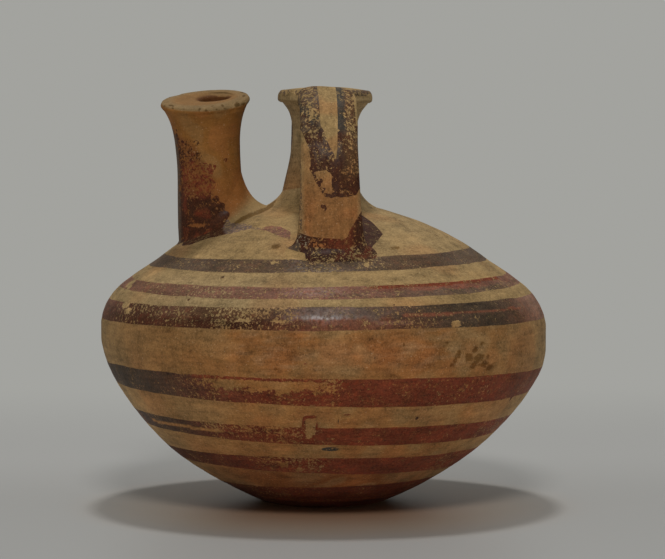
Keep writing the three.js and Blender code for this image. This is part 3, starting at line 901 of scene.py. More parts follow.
def azimuth_of(places):
    """Degrees about the axis from the front towards +X."""
    return np.degrees(np.arctan2(places[:, 0], -places[:, 1]))


def degrees_from(azimuth, middle):
    """Turns from a middle azimuth, from -180 to 180."""
    return (azimuth - middle + 180) % 360 - 180


def wound(azimuth, middle, half, power=2):
    """1 at a middle azimuth, falling off as exp(-t^power) of the turn over half a width."""
    return np.exp(-(np.abs(degrees_from(azimuth, middle) / half) ** power))


def blend(tone, *layers):
    """Lays colours over a tone, each by its amounts from 0 to 1."""
    tone = np.asarray(tone)
    for share, over in layers:
        tone = tone + np.clip(share, 0, 1)[:, None] * (np.asarray(over) - tone)
    return tone


def to_sides(places, corners):
    """Distance from points in a plane to each side of an outline or line given by its corners."""
    start, end = corners[:-1], corners[1:]
    way = end - start
    share = ((places[:, None] - start) * way).sum(axis=-1) / (way**2).sum(axis=-1)
    nearest = start + np.clip(share, 0, 1)[..., None] * way
    return np.linalg.norm(places[:, None] - nearest, axis=-1).min(axis=1)


def in_stroke(places, line, half):
    """Depth inside a brush stroke: half its width less the distance to its line."""
    return half - to_sides(places, np.array(line, float))


def in_outline(places, outline):
    """Depth inside a closed outline: the distance to its nearest side, negative outside."""
    corners = np.array([*outline, outline[0]], float)
    x, y = places[:, :1], places[:, 1:2]
    (x1, y1), (x2, y2) = corners[:-1].T, corners[1:].T
    rise = np.where(y2 == y1, 1e-9, y2 - y1)
    crossed = ((y1 > y) != (y2 > y)) & (x < x1 + (x2 - x1) * (y - y1) / rise)
    inside = crossed.sum(axis=1) % 2 == 1
    return np.where(inside, 1, -1) * to_sides(places, corners)


def in_spots(across, up, *spots):
    """Depth inside the nearest of some oval spots, each given by its middle across and up and half
    its width and height: its shorter half times 1 less the scaled distance from its middle."""
    return np.max([
        min(wide, high) * (1 - np.hypot((across - x) / wide, (up - y) / high))
        for x, y, wide, high in spots
    ], axis=0)


def lay(paint, mark, tone, rubbed, outer=-1.2):
    """Lays a mark over paint that is given as depth, wear and slip. Its own wear and slip hold
    where it is deeper than what lies there, as far out as the outer depth."""
    depth, wear, slip = paint
    over = mark > np.maximum(depth, outer)
    slip = np.where(over[:, None], tone, slip)
    return np.maximum(depth, mark), np.where(over, rubbed, wear), slip


# Shares of the slip rubbed off, and the levels of the material's noise below which they lie.
LOOSE = (
    (0, 0.02, 0.05, 0.1, 0.2, 0.35, 0.5, 0.65, 0.8, 0.9, 1),
    (0.33, 0.39, 0.413, 0.432, 0.455, 0.48, 0.501, 0.522, 0.547, 0.57, 0.67),
)


def coat(piece, depth, wear, slip, clay, gloss=0.1, stain=-FAR):
    """Puts the paint's fields on a piece: depth inside painted edges in millimetres, share rubbed
    off, the colours of slip and clay, how polished the slip is, and depth inside brown stains."""
    add_field(piece, "paint_gloss", np.full_like(depth, gloss))
    add_field(piece, "stain_depth", np.clip(np.full_like(depth, stain), -FAR, FAR))
    add_field(piece, "paint_depth", np.clip(depth, -FAR, FAR))
    add_field(piece, "paint_wear", np.interp(wear, *LOOSE))
    add_tone(piece, "slip_tone", np.clip(slip, 0, 1))
    add_tone(piece, "clay_tone", np.clip(clay, 0, 1))


def clay_tones(places, shades):
    """Clay from buff on the shoulder to orange-brown on the belly, olive on both flanks, where the
    lighter olive is partly a painted sheen, and a paler painted highlight high on the shoulder at
    +X.
    """
    azimuth, z = azimuth_of(places), places[:, 2]
    belly = 1 - smooth(z, 50, 54)
    low = 1 - smooth(z, 30, 36)
    foot = 1 - smooth(z, 10, 19)
    # Olive flanks: partly the clay's own tone, partly a painted sheen on the left and right sides.
    flank_tone_and_sheen = wound(azimuth, -82, 31) + wound(azimuth, 80, 29) + 0.7 * wound(azimuth, 168, 30)
    blush = wound(azimuth, 6, 20) * np.exp(-(((z - 45) / 4.5) ** 2))
    patches, blotches = waves(places, 22, 41), waves(places, 7, 101)
    buff = wound(azimuth, -36, 34) * smooth(z, 55, 57) * (1 - smooth(z, 60, 70))
    # Painted highlight: paler clay high on the shoulder towards +X, where the top light falls.
    painted_highlight_haze = wound(azimuth, 50, 34) * smooth(z, 62, 70)
    scuffs = wound(azimuth, -14, 12) + wound(azimuth, 24, 13) + 0.8 * wound(azimuth, 140, 30)
    scuffs = scuffs * smooth(waves(places * [1, 1, 2.4], 5, 109), 0.1, 0.9) * smooth(z, 39, 42)
    return blend(
        shades.shoulder_clay, (belly, shades.belly_clay), (low, shades.low_clay),
        (foot, shades.foot_clay), (0.75 * flank_tone_and_sheen, shades.flank_clay),
        (0.65 * belly * blush, shades.orange_clay),
        (0.4 * belly * smooth(blotches, 0.3, 1.1) * wound(azimuth, 10, 40), shades.orange_clay),
        (0.3 * belly * smooth(-blotches, 0.3, 1.2) * wound(azimuth, 20, 50), shades.flank_clay),
        (0.9 * buff + 0.5 * painted_highlight_haze, shades.neck_clay), (0.26 * belly * scuffs, shades.scuffed_clay),
        (0.22 * smooth(patches, 0.3, 1.6), shades.orange_clay),
        (0.25 * smooth(-patches, 0.3, 1.6), shades.flank_clay),
    )


def shoulder_stain(places):
    """Depth inside the brown smear between the spout and the neck."""
    return np.where(places[:, 2] > ON_SHOULDER, in_stroke(places[:, :2], BRANCH, 1.3), -FAR)


def shoulder_marks(places, shades):
    """Strokes round the spout's foot and the straps' roots, drawn in plan, as depth, wear and slip.
    The rear root has the front one's shape, turned round."""
    plan = places[:, :2]
    root = np.where(plan[:, 1:2] > 0, -plan, plan)
    paint = np.full(len(places), -float(FAR)), np.zeros(len(places)), np.array(shades.grey_slip)
    for mark, rubbed, tone in (
        (in_outline(plan, SPOUT_PATCH), 0.05, shades.dark_slip),
        (in_outline(plan, GREY_STROKE), 0.22, shades.grey_plum_slip),
        (in_stroke(plan, [(-20.4, -21.5), (-18.6, -23.6)], 0.5), 0.3, shades.grey_plum_slip),
        (in_outline(plan, LENS), 0.15, shades.plum_slip),
        (in_outline(root, ROOT_PATCH) + 0.2, 0.03, shades.root_slip),
        (in_outline(root, ROOT_SMEAR), 0.22, shades.root_slip),
        (in_stroke(plan, [(26.7, -14.4), (30.7, -15.0)], 0.35), 0.4, shades.brown_slip),
    ):
        paint = lay(paint, mark, tone, rubbed)
    return np.where(places[:, 2] > ON_SHOULDER, paint[0], -FAR), *paint[1:]


def band_paint(places, shades, band, mottle):
    """One band's depth, slip and share rubbed off. Its edges wander by a tenth of a millimetre."""
    upper, lower, top_tone, low_tone, arcs, rubs = band
    azimuth, z = azimuth_of(places), places[:, 2]
    top, bottom = banded(places, upper), banded(places, lower)
    wander = 0.07 * waves(places * [1, 1, 0], 24, 47 + int(upper[0])) + 0.03 * waves(places, 6, 53)
    half = smooth((z - bottom) / (top - bottom) + 0.07 * waves(places, 3.2, 57), 0.4, 0.6)
    tone = blend(getattr(shades, low_tone), (half, getattr(shades, top_tone)))
    for middle, wide, name, up, down in arcs:
        share = wound(azimuth, middle, wide, 3) * (down + half * (up - down))
        tone = blend(tone, (share, getattr(shades, name)))
    rubbed = 0.02 + 0.02 * mottle
    for middle, wide, up, down in rubs:
        rubbed = rubbed + wound(azimuth, middle, wide, 7) * (down + half * (up - down))
    mark = np.minimum(z - bottom, top - z) + wander
    return mark, tone * (1 + 0.08 * mottle)[:, None], rubbed


def body_paint(jar, places, shades):
    """The bands, marks and stains of the body's outside, in the order of coat."""
    azimuth, z = azimuth_of(places), places[:, 2]
    reach = np.hypot(places[:, 0], places[:, 1])
    outside = reach > np.interp(z, jar.side[:, 1], jar.side[:, 0]) - 2

    def on_body(middle, high, wide, tall):
        """Depth inside an oval spot at an azimuth and height."""
        across = degrees_from(azimuth, middle) * reach * math.pi / 180
        return in_spots(across, z, (0, high, wide, tall))

    paint, mottle = shoulder_marks(places, shades), waves(places, 7, 43)
    for band in BANDS:
        paint = lay(paint, *band_paint(places, shades, band, mottle))
    depth, wear, slip = paint
    for band, share, start, end, half, name, rubbed in LINES:
        top, bottom = (banded(places, edge) for edge in BANDS[band][:2])
        ends = (end - start) / 2 - np.abs(degrees_from(azimuth, (start + end) / 2))
        mark = np.minimum(half - np.abs(z - bottom - share * (top - bottom)), ends)
        over = mark > -0.15
        slip = np.where(over[:, None], getattr(shades, name), slip)
        wear = np.where(over, rubbed, wear)
        depth = np.where(over, np.maximum(depth, mark), depth)
    for *spot, name, rubbed in SPOTS:
        depth, wear, slip = lay(
            (depth, wear, slip), on_body(*spot), getattr(shades, name), rubbed, -0.3
        )
    for chip in CHIPS:
        wear = wear + 2 * smooth(on_body(*chip), 0, 0.35)
    stain = shoulder_stain(places)
    for *spot, strength in STAINS:
        stain = np.maximum(stain, on_body(*spot) - 0.3 * (1 - strength))
    # The third band's upper half is polished where the front lamp glints.
    top, bottom = (banded(places, edge) for edge in BANDS[2][:2])
    polished = smooth((z - bottom) / (top - bottom), 0.42, 0.56) * (1 - smooth(z - top, -0.4, 0.2))
    gloss = 0.08 + polished * (0.92 * wound(azimuth, -2.4, 10) + 0.4 * wound(azimuth, 150, 30))
    depth, gloss = np.where(outside, depth, -FAR), np.where(outside, gloss, 0)
    return depth, wear, slip, clay_tones(places, shades), gloss, stain


def strap_paint(jar, places, shades, rear):
    """Two stripes down a strap, rubbed grey near the crown, the dark root with its bare edge, and a
    painted shade line down its left side. Shapes are drawn for the front strap as seen from the
    front."""
    front = places * [-1, -1, 1] if rear else places
    across, height = front[:, 0], front[:, 2]
    view = front[:, [0, 2]]
    root = in_outline(view, STRAP_ROOT)
    # Painted shade: an olive line down the strap's left edge, where its rounded side turns into
    # shade.
    edge = in_stroke(view, [(-7.9, 95), (-7.9, 76)], 0.36)
    stripes = np.maximum(in_outline(view, LEFT_STRIPE), in_outline(view, RIGHT_STRIPE))
    line = in_stroke(view, [(-5.1, 92.1), (-3.3, 88.2), (-1.5, 85.1), (0.2, 84.7)], 0.42)
    spots = in_spots(
        across, height, (-2.7, 88.8, 0.7, 0.8), (-0.6, 86.9, 0.7, 0.6), (-2.2, 82.2, 0.55, 0.6),
        (-1.2, 81.6, 0.5, 0.9),
    )
    depth = np.max([stripes, line, spots, edge, root], axis=0)
    on_root, on_shade_line = root > stripes, (edge > stripes) * (edge > root)

    left, high = across < 1.6 - 0.1 * np.abs(height - 93), smooth(height, 94, 98)
    solid = smooth(-across, -4.7, -3.9) * smooth(height, 100, 103)
    rim = smooth(across, 6.8, 7.3) * (1 - smooth(height, 101, 104))
    worn = (1 - solid) * (1 - rim)
    pink = np.exp(-(((across + 4.9) / 0.9) ** 2)) * smooth(height, 103, 105)
    tint = smooth(across, 2.6, 4.6) * smooth(height, 88, 92)
    left_wear = 0.12 + 0.1 * smooth(height, 92, 97) + 0.26 * pink
    right_wear = 0.05 + 0.1 * tint + high * (0.1 + 0.06 * smooth(across, 4.4, 5.2)) * worn
    stripe_wear = np.where(left, left_wear, right_wear) + 0.06 * waves(front, 2.5, 63)
    # Bare orange and pale places in the root's slip.
    orange = in_spots(across, height, (-5.0, 72.2, 1.0, 0.7), (-2.6, 71.9, 0.9, 0.4))
    pale = in_spots(across, height, (-7.4, 73.2, 1.3, 1.3))
    wear = np.where(on_root, 0.12 + 0.06 * waves(front, 4, 61), stripe_wear)
    wear = wear + 0.3 * smooth(np.maximum(orange, pale), -0.8, 0.3) + 0.5 * on_shade_line

    patchy = waves(front, 3.5, 59)
    red = smooth(across, -4, 0) * (1 - smooth(across, 5, 7)) * on_root
    slip = blend(
        shades.dark_slip, (high * smooth(patchy, -0.2, 1.2), shades.grey_slip),
        (0.9 * high * ~left * solid, shades.blue_grey_slip),
        (0.8 * left * smooth(-patchy, -0.2, 0.8) * smooth(height, 100, 104), shades.blue_grey_slip),
        (0.7 * ~left * tint * worn, shades.brown_slip), (0.8 * on_shade_line, shades.olive_slip_and_painted_shade),
        (0.55 * red, shades.red_slip),
    )
    clay = blend(
        shades.strap_clay, (1 - smooth(height, 84, 100), shades.low_strap_clay),
        (0.3 * smooth(waves(front, 9, 67), 0, 1.5), shades.orange_clay),
        (0.6 * smooth(np.abs(across), 6.4, 8), shades.flank_clay),
        (0.7 * smooth(orange, -0.8, 0.2), shades.orange_clay),
        (smooth(pale, -0.8, 0.2), shades.pale_clay),
    )
    facing = smooth(-front[:, 1], 8, 9) > 0.5
    return np.where(facing, depth, -FAR), wear, slip, clay


def upright(jar, places):
    """Places in the spout's own frame, before it leans: turn from the front towards +X in
    millimetres round its wall, height, and distance from its axis."""
    x, up = places[:, 0] + jar.spout_reach, places[:, 2] - spout_foot(jar)
    across = x * math.cos(LEAN) + up * math.sin(LEAN)
    height = up * math.cos(LEAN) - x * math.sin(LEAN) + spout_foot(jar)
    round_wall = np.arctan2(across, -places[:, 1]) * jar.spout_radius
    return round_wall, height, np.hypot(across, places[:, 1])


def spout_paint(jar, places, shades):
    """Rubbed slip: dark down the outer side, speckled at mid height, solid at the foot."""
    turn, height, reach = upright(jar, places)
    wall = np.stack([turn, height], axis=1)
    rear = in_stroke(wall, [(-22, 99), (-18, 90), (-24, 80), (-16, 70)], 3.2)
    wash = in_outline(wall, SPOUT_STAIN)
    dots = in_spots(turn, height, (1.3, 92, 0.7, 0.6), (4.8, 93.4, 0.8, 0.5))
    bare = in_spots(turn, height, (-4.2, 76.1, 2.2, 0.45), (-5.0, 71.4, 1.4, 0.7))
    depth = np.max([rear, wash + 0.8 * waves(places, 2.6, 69), dots], axis=0)
    high, right = smooth(height, 82.5, 85.5), smooth(turn, -10.8, -8)
    wear = 0.06 + high * (0.4 * right + 0.07 * smooth(height, 92, 96))
    wear = wear + 0.06 * waves(places, 3.2, 71)
    wear = np.where(rear >= depth, 0.4, np.where(dots >= depth, 0.3, wear))
    wear = wear + 0.9 * smooth(bare, -0.3, 0.2)
    slip = blend(
        shades.dark_slip,
        (0.8 * high * smooth(93.5 - height, -1, 1) * smooth(turn, -10, -7), shades.red_slip),
        (0.55 * smooth(waves(places, 4, 71), 0.1, 1.3) * right, shades.red_slip),
        (0.85 * smooth(-turn, 9.6, 11), shades.olive_slip_and_painted_shade),
    )

    # The lip's top, and the mouth, with painted shade: darker inside a ring round its own middle.
    level = places[:, 2] - 0.2 * places[:, 1] - 0.03 * (places[:, 0] + jar.spout_reach)
    top = smooth(level, jar.spout_top - 0.9, jar.spout_top - 0.3)
    mouth = np.hypot(reach * np.sin(turn / jar.spout_radius) - 2.4, places[:, 1] - 3.4)
    inside = (1 - smooth(mouth, 4.2, 5.4)) * (reach < 8.4)
    patches = waves(places, 8, 73)
    clay = blend(
        shades.spout_clay, (0.45 * smooth(-height, -94, -80), shades.orange_clay),
        (0.3 * smooth(patches, 0.2, 1.4), shades.orange_clay),
        (0.2 * smooth(-patches, 0.4, 1.6), shades.flank_clay),
        (0.6 * smooth(wash, -0.8, 1.2), shades.stained_clay), (top, shades.lip_clay),
        (0.5 * top * (1 - smooth(reach, 7.5, 10.5)), shades.spout_clay),
        # Painted shade inside the mouth: a darker copy of the stained clay.
        (0.85 * inside, 0.6 * np.array(shades.stained_clay)),
    )
    rim = 11.3 - 0.5 * waves(places, 5, 103)
    crumbs = 0.3 - np.abs(reach - rim) + 0.6 * (waves(places, 2.2, 107) - 0.5)
    depth, stain = np.where(top > 0.5, -FAR, depth), np.where(top > 0.2, crumbs, -FAR)
    return depth, wear, slip, clay, 0.1, stain


def neck_paint(jar, places, shades):
    """Bare clay; on the disc a worn ring of slip, dark towards +X."""
    places = places - [NECK_SHIFT, 0, 0]
    azimuth, z = azimuth_of(places), places[:, 2]
    edge = 0.3 * waves(places + [NECK_SHIFT, 0, 0], 4, 79)
    ring = 1.4 - np.abs(np.hypot(places[:, 0], places[:, 1]) - 11.6) + edge
    wear = 0.62 - 0.5 * wound(azimuth, 62, 34) + 0.1 * wound(azimuth, 180, 60)
    clay = blend(
        shades.neck_clay, (0.6 * (1 - smooth(z, 86, 100)), shades.low_strap_clay),
        (smooth(z, jar.disc_top - 3, jar.disc_top), shades.strap_clay),
        (1 - smooth(z, 80, 84), shades.shoulder_clay),
    )
    slip = np.broadcast_to(shades.grey_slip, places.shape)
    return np.where(z > jar.disc_top - 1.8, ring, -FAR), wear, slip, clay


def bead_paint(jar, places, shades):
    """The neck's bead: shoulder clay with the shoulder's strokes."""
    above = 0.7 * smooth(places[:, 2], 81, 87)
    clay = blend(clay_tones(places, shades), (above, shades.neck_clay))
    return *shoulder_marks(places, shades), clay, 0.1, shoulder_stain(places)


def spout_bead_paint(jar, places, shades):
    """The spout's bead: the spout's slip above and the shoulder's strokes below."""
    reach = upright(jar, places)[2]
    share = smooth(reach, jar.spout_foot_radius + 0.4, jar.spout_foot_radius + 3)
    high, low = spout_paint(jar, places, shades), shoulder_marks(places, shades)
    lower = low[0] > high[0] - 2 * share
    depth = np.maximum(high[0] - 2 * share, low[0])
    wear = np.where(lower, low[1], high[1])
    slip = np.where(lower[:, None], low[2], high[2])
    clay = blend(high[3], (share, shades.shoulder_clay))
    return depth, wear, slip, clay, 0.1, shoulder_stain(places)


def root_paint(jar, places, shades, rear):
    """A strap's bead: the root's dark slip, ending at the strap's bare edge above."""
    depth, wear, slip = shoulder_marks(places, shades)
    strap_depth, strap_wear, _, clay = strap_paint(jar, places, shades, rear)
    outer = np.hypot(places[:, 0] * 0.6, places[:, 1]) > 33.5
    edged = np.minimum(np.maximum(depth, strap_depth), strap_depth + 6)
    wear = np.maximum(wear, 0.12) + 0.1 * waves(places, 3.5, 89)
    wear = wear + np.where(outer, strap_wear - 0.1, 0)
    slip = blend(slip, (0.5 * smooth(waves(places, 5, 83), 0, 1.2), shades.red_slip))
    clay = blend(clay, (1 - smooth(places[:, 2], 70, 74), shades.shoulder_clay))
    return np.where(outer, edged, depth), wear, slip, clay


# Materials


class Value:
    """An output in a material. Sums, differences and products of numbers add Math nodes."""

    def __init__(self, finish, socket):
        self.finish = finish
        self.socket = socket

    def math(self, operation, first, second):
        """One Math node."""
        return self.finish.node("ShaderNodeMath", {"operation": operation}, {0: first, 1: second})

    def __add__(self, other):
        return self.math("ADD", self, other)

    def __mul__(self, other):
        return self.math("MULTIPLY", self, other)

    def __sub__(self, other):
        return self.math("SUBTRACT", self, other)

    def __rsub__(self, other):
        return self.math("SUBTRACT", other, self)

    __radd__ = __add__
    __rmul__ = __mul__

    def between(self, low, high):
        """0 where this number is at low, 1 at high, and smooth between."""
        return self.finish.node(
            "ShaderNodeMapRange", {"interpolation_type": "SMOOTHSTEP"},
            {"Value": self, "From Min": low, "From Max": high},
        )


class Finish:
    """Adds nodes to the empty tree of a material or of the world."""

    def __init__(self, owner):
        owner.use_nodes = True
        self.tree = owner.node_tree
        self.tree.nodes.clear()

    def node(self, kind, settings=None, values=None, output=0):
        """A node of a kind, its settings first, then the values or links of its sockets."""
        node = self.tree.nodes.new(kind)
        for name, setting in (settings or {}).items():
            setattr(node, name, setting)
        for name, value in (values or {}).items():
            if isinstance(value, Value):
                self.tree.links.new(value.socket, node.inputs[name])
            else:
                node.inputs[name].default_value = value
        return Value(self, node.outputs[output]) if node.outputs else None

    def field(self, name):
        """A number that the mesh holds for each point."""
        return self.node("ShaderNodeAttribute", {"attribute_name": name}, output=2)

    def tone(self, name):
        """A colour that the mesh holds for each point."""
        return self.node("ShaderNodeAttribute", {"attribute_name": name})

    def times(self, vector, factors):
        """A vector times others, axis by axis."""
        return self.node(
            "ShaderNodeVectorMath", {"operation": "MULTIPLY"}, {0: vector, 1: factors}
        )

    def scaled(self, vector, amount):
        """A vector or colour times a number."""
        return self.node(
            "ShaderNodeVectorMath", {"operation": "SCALE"}, {0: vector, "Scale": amount}
        )

    def place(self):
        """Object coordinates in millimetres."""
        return self.scaled(self.node("ShaderNodeTexCoord", output=3), 1 / MM)

    def mix(self, share, first, second):
        """Second over first, by a share."""
        return self.node(
            "ShaderNodeMix", {"data_type": "RGBA"}, {0: share, 6: first, 7: second}, output=2,
        )

    def tinted(self, tone, *layers):
        """Lays copies of a colour over it, each by its share, lighter or darker and tinted."""
        for share, amount, tint in layers:
            tone = self.mix(share, tone, self.scaled(self.times(tone, tint), amount))
        return tone

    def speckle(self, place, size, detail=3.0, rough=0.55, shift=(0, 0, 0)):
        """Noise whose grains are about a size across, in millimetres."""
        moved = self.node("ShaderNodeVectorMath", {"operation": "ADD"}, {0: place, 1: shift})
        return self.node(
            "ShaderNodeTexNoise", None,
            {"Vector": moved, "Scale": 1 / size, "Detail": detail, "Roughness": rough},
        )

    def seen_ray(self):
        """1 for what the camera sees straight or in a gloss."""
        straight = self.node("ShaderNodeLightPath")
        return straight + self.node("ShaderNodeLightPath", output=3)


def clay_finish(name, across, contrast):
    """Fired clay under worn slip.

    The mesh gives the depth inside painted edges and stains, the share rubbed off, the polish and
    both colours. Noise of several sizes gives wavering edges, rubbed specks, brush streaks, grit,
    scuffs, pits and dirt. Streaks run level where across is 1, and down a strap or spout where it
    is less. The contrast sets how strongly the bare clay varies.
    """
    material = bpy.data.materials.new(name)
    finish = Finish(material)
    place = finish.place()
    along = finish.times(place, across)
    cloud = finish.speckle(place, 11, 3)
    patch = finish.speckle(place, 3.2, 4, shift=(31, 7, 3))
    crumb = finish.speckle(place, 1.5, 3, shift=(71, 13, 37))
    grain = finish.speckle(place, 0.75, 3, 0.6, shift=(5, 43, 11))
    grit = finish.speckle(place, 0.36, 2, shift=(17, 29, 61))
    streak = finish.speckle(along, 1.1, 3, 0.6, shift=(3, 83, 19))
    scuff = finish.speckle(along, 2.4, 5, 0.7, shift=(59, 2, 23))
    rubbed = finish.speckle(place, 0.72, 4, 0.75, shift=(5, 43, 11))

    edge = finish.field("paint_depth") + 0.25 * (crumb - 0.5) + 0.3 * (grain - 0.5)
    inside = edge.between(-0.03, 0.05)
    loose = 0.8 * rubbed + 0.2 * patch - finish.field("paint_wear")
    cover = inside * loose.between(-0.006, 0.01)
    stain = finish.field("stain_depth")
    stain = stain + 0.9 * (crumb - 0.5) + 1.6 * (grain - 0.5) + 0.8 * (grit - 0.5)
    dirt = grit.between(0.37, 0.28) * (0.3 * contrast) + crumb.between(0.33, 0.23) * 0.4

    factor = 0.9 * patch + 0.8 * cloud + 1.0 * grain + 0.9 * grit + 0.9 * streak - 2.25
    clay = finish.tinted(
        finish.scaled(finish.tone("clay_tone"), contrast * factor + 1),
        (cloud.between(0.5, 0.72) * (0.15 * contrast), 1.08, (1.12, 0.93, 0.78)),
        (patch.between(0.42, 0.26) * (0.15 * contrast), 0.8, (1.02, 0.98, 0.85)),
        (scuff.between(0.56, 0.72) * (0.6 * contrast), 1.4, (1, 0.98, 1.05)),
        (inside * 0.5, 1.25, (1, 1, 1)),
        (stain.between(-0.15, 0.2) * 0.9, 0.38, (1.1, 0.92, 0.6)),
        (dirt, 0.4, (1.1, 0.88, 0.7)),
    )
    clay = finish.mix(grit.between(0.64, 0.76) * 0.5, clay, (0.5, 0.4, 0.26, 1))

    factor = 0.8 * patch + 0.9 * streak + 1.4 * grain + 1.4 * grit - 1.25
    slip = finish.tinted(
        finish.scaled(finish.tone("slip_tone"), factor),
        (crumb.between(0.5, 0.64) * 0.4, 1.25, (1.2, 0.9, 0.78)),
        (streak.between(0.47, 0.3) * 0.35, 0.7, (0.92, 1, 1.08)),
    )
    slip = finish.mix(grit.between(0.6, 0.7) * 0.25, slip, finish.tone("clay_tone"))
    thin = 0.92 + 0.08 * patch.between(0.35, 0.55)

    brushed = finish.speckle(finish.times(place, (1, 1, 0.12)), 0.8, 2).between(0.36, 0.64)
    polish = finish.field("paint_gloss") * cover * (0.12 + 0.75 * brushed)
    pits = crumb.between(0.34, 0.24) + 0.6 * grit.between(0.34, 0.24)
    height = 0.035 * cover + 0.08 * grain + 0.05 * streak + 0.12 * patch - 0.06 * pits
    shade = finish.node("ShaderNodeBsdfPrincipled", None, {
        "Base Color": finish.mix(cover * thin, clay, slip), "Roughness": 0.59 + 0.3 * grain,
        "Normal": finish.node(
            "ShaderNodeBump", None, {"Strength": 0.9, "Distance": MM, "Height": height},
        ),
        "Specular IOR Level": 0.08, "Coat Weight": polish, "Coat Roughness": 0.3,
    })
    finish.node("ShaderNodeOutputMaterial", None, {"Surface": shade})
    return material


def paper_finish(stage):
    """Pale paper with painted bounce light and painted shade: warmer under the jar, as if light
    came back from the clay, and darker brown near the foot as a painted shadow and reflection of
    the jar.
    The camera sees it run into the backdrop's colour away from the jar, and everything else meets
    plain paper."""
    material = bpy.data.materials.new("Stage paper")
    finish = Finish(material)
    level = finish.node("ShaderNodeVectorMath", {"operation": "MULTIPLY_ADD"}, {
        0: finish.place(), 1: (1, 1, 0), 2: (0, 12, 0),
    })
    away = finish.node("ShaderNodeVectorMath", {"operation": "LENGTH"}, {0: level}, output=1)
    behind = finish.node("ShaderNodeSeparateXYZ", None, {0: finish.place()}, output=1)
    far = (*(1.18 * tone for tone in stage.floor), 1)
    # Painted bounce light within about 74 mm of the jar, and a darker brown painted shadow and
    # reflection of the jar within about 50 mm.
    pale = finish.tinted(
        finish.mix(behind.between(-10, 110), (*stage.floor, 1), far),
        (away.between(74, 40), 1.0, (1.02, 0.84, 0.68)),
        (away.between(50, 14) * 0.8, 1.0, (0.8, 0.5, 0.32)),
    )
    straight = finish.node("ShaderNodeLightPath")
    shade = finish.node("ShaderNodeBsdfPrincipled", None, {
        "Base Color": finish.mix(straight, (0.8, 0.8, 0.78, 1), pale), "Roughness": 0.42,
        "Specular IOR Level": 0.4,
    })
    glow = finish.node("ShaderNodeEmission", None, {"Color": (*stage.backdrop, 1)})
    far_off = behind.between(110, 330) * finish.seen_ray()
    both = finish.node("ShaderNodeMixShader", None, {0: far_off, 1: shade, 2: glow})
    finish.node("ShaderNodeOutputMaterial", None, {"Surface": both})
    return material


def wear_finish(piece, slot):
    """Gives a piece the finish of its slot, made once."""
    name, *looks = FINISHES[slot]
    material = bpy.data.materials.get(name) or clay_finish(name, *looks)
    piece.data.materials.clear()
    piece.data.materials.append(material)


def make_piece(context, node, slot, grid, ring, paint, *rear, drill=None):
    """Makes the piece that stands for a node, bored by a drill where one is given, and paints and
    settles it. A strap's paints are told whether it is the rear one."""
    jar, shades = jar_sizes(context), jar_colours(context)
    piece = new_piece(f"jar_{node}", grid, ring)
    if drill is not None:
        cut_away(piece, new_piece("spout_drill", drill))
    coat(piece, *paint(jar, places_of(piece), shades, *rear))
    wear_finish(piece, slot)
    settle(piece, slot, node)


# Name, lengths of streaks across each axis, and contrast of the finish of each slot.
FINISHES = {
    "banded_clay": ("Banded clay", (0.12, 0.12, 1), 1.0),
    "plain_clay": ("Bare clay", (0.12, 0.12, 1), 1.0),
    "stained_clay": ("Stained clay", (0.25, 0.25, 1), 0.5),
    "striped_clay": ("Striped clay", (1, 0.3, 0.15), 1.0),
    "painted_clay": ("Painted clay", (0.2, 0.2, 1), 1.0),
}


# Operators


class JAR_OT_body(bpy.types.Operator):
    """Make the hollow, banded body"""

    bl_idname = "jar.body"
    bl_label = "Make body"

    def execute(self, context):
        jar = jar_sizes(context)
        drill = np.array([(0, 60), (6, 60), (6, 90), (0, 90)], float)
        make_piece(
            context, "body", "banded_clay", untrue(jar, make_body_grid(jar)), False, body_paint,
            drill=lean_out(jar, turned(drill, 64) + [BORE_SHIFT, 0, 0]),
        )
        return {"FINISHED"}


class JAR_OT_neck(bpy.types.Operator):
    """Make the false neck, the disc on it and the bead at its foot"""

    bl_idname = "jar.neck"
    bl_label = "Make false neck"

    def execute(self, context):
        jar = jar_sizes(context)
        for node, make_grid, ring, paint in (
            ("false_neck", make_neck_grid, False, neck_paint),
            ("neck_disc", make_disc_grid, False, neck_paint),
            ("neck_collar", make_neck_collar_grid, True, bead_paint),
        ):
            make_piece(context, node, "plain_clay", untrue(jar, make_grid(jar)), ring, paint)
        return {"FINISHED"}


class JAR_OT_spout(bpy.types.Operator):
    """Make the spout and the bead at its foot"""

    bl_idname = "jar.spout"
    bl_label = "Make spout"

    def execute(self, context):
        jar = jar_sizes(context)
        for node, make_grid, paint in (
            ("spout", make_spout_grid, spout_paint),
            ("spout_collar", make_spout_collar_grid, spout_bead_paint),
        ):
            make_piece(context, node, "stained_clay", untrue(jar, make_grid(jar)), True, paint)
        return {"FINISHED"}


class JAR_OT_handles(bpy.types.Operator):
    """Make the two strap handles and the beads at their roots"""

    bl_idname = "jar.handles"
    bl_label = "Make handles"

    def execute(self, context):
        jar = jar_sizes(context)
        for side, seed in (("front", 31), ("rear", 37)):
            rear = side == "rear"
            turn = 1 if rear else [-1, -1, 1]
            strap = untrue(jar, make_strap_grid(jar, seed) * turn)
            strap[..., 2] = np.minimum(strap[..., 2], jar.highest)
            root = untrue(jar, make_root_grid(jar) * turn)
            node = f"{side}_handle"
            make_piece(context, node, "striped_clay", strap, False, strap_paint, rear)
            make_piece(context, f"{node}_root", "painted_clay", root, True, root_paint, rear)
        return {"FINISHED"}


def light_sky(context, stage):
    """Even light from all round, which the camera sees in the backdrop's colour."""
    world = bpy.data.worlds.new("Stage light")
    context.scene.world = world
    sky = Finish(world)
    light, seen = (
        sky.node("ShaderNodeBackground", None, {"Color": (*tone, 1), "Strength": strength})
        for tone, strength in (((1, 1, 1), stage.sky_strength), (stage.backdrop, 1.0))
    )
    both = sky.node("ShaderNodeMixShader", None, {0: sky.seen_ray(), 1: light, 2: seen})
    sky.node("ShaderNodeOutputWorld", None, {"Surface": both})


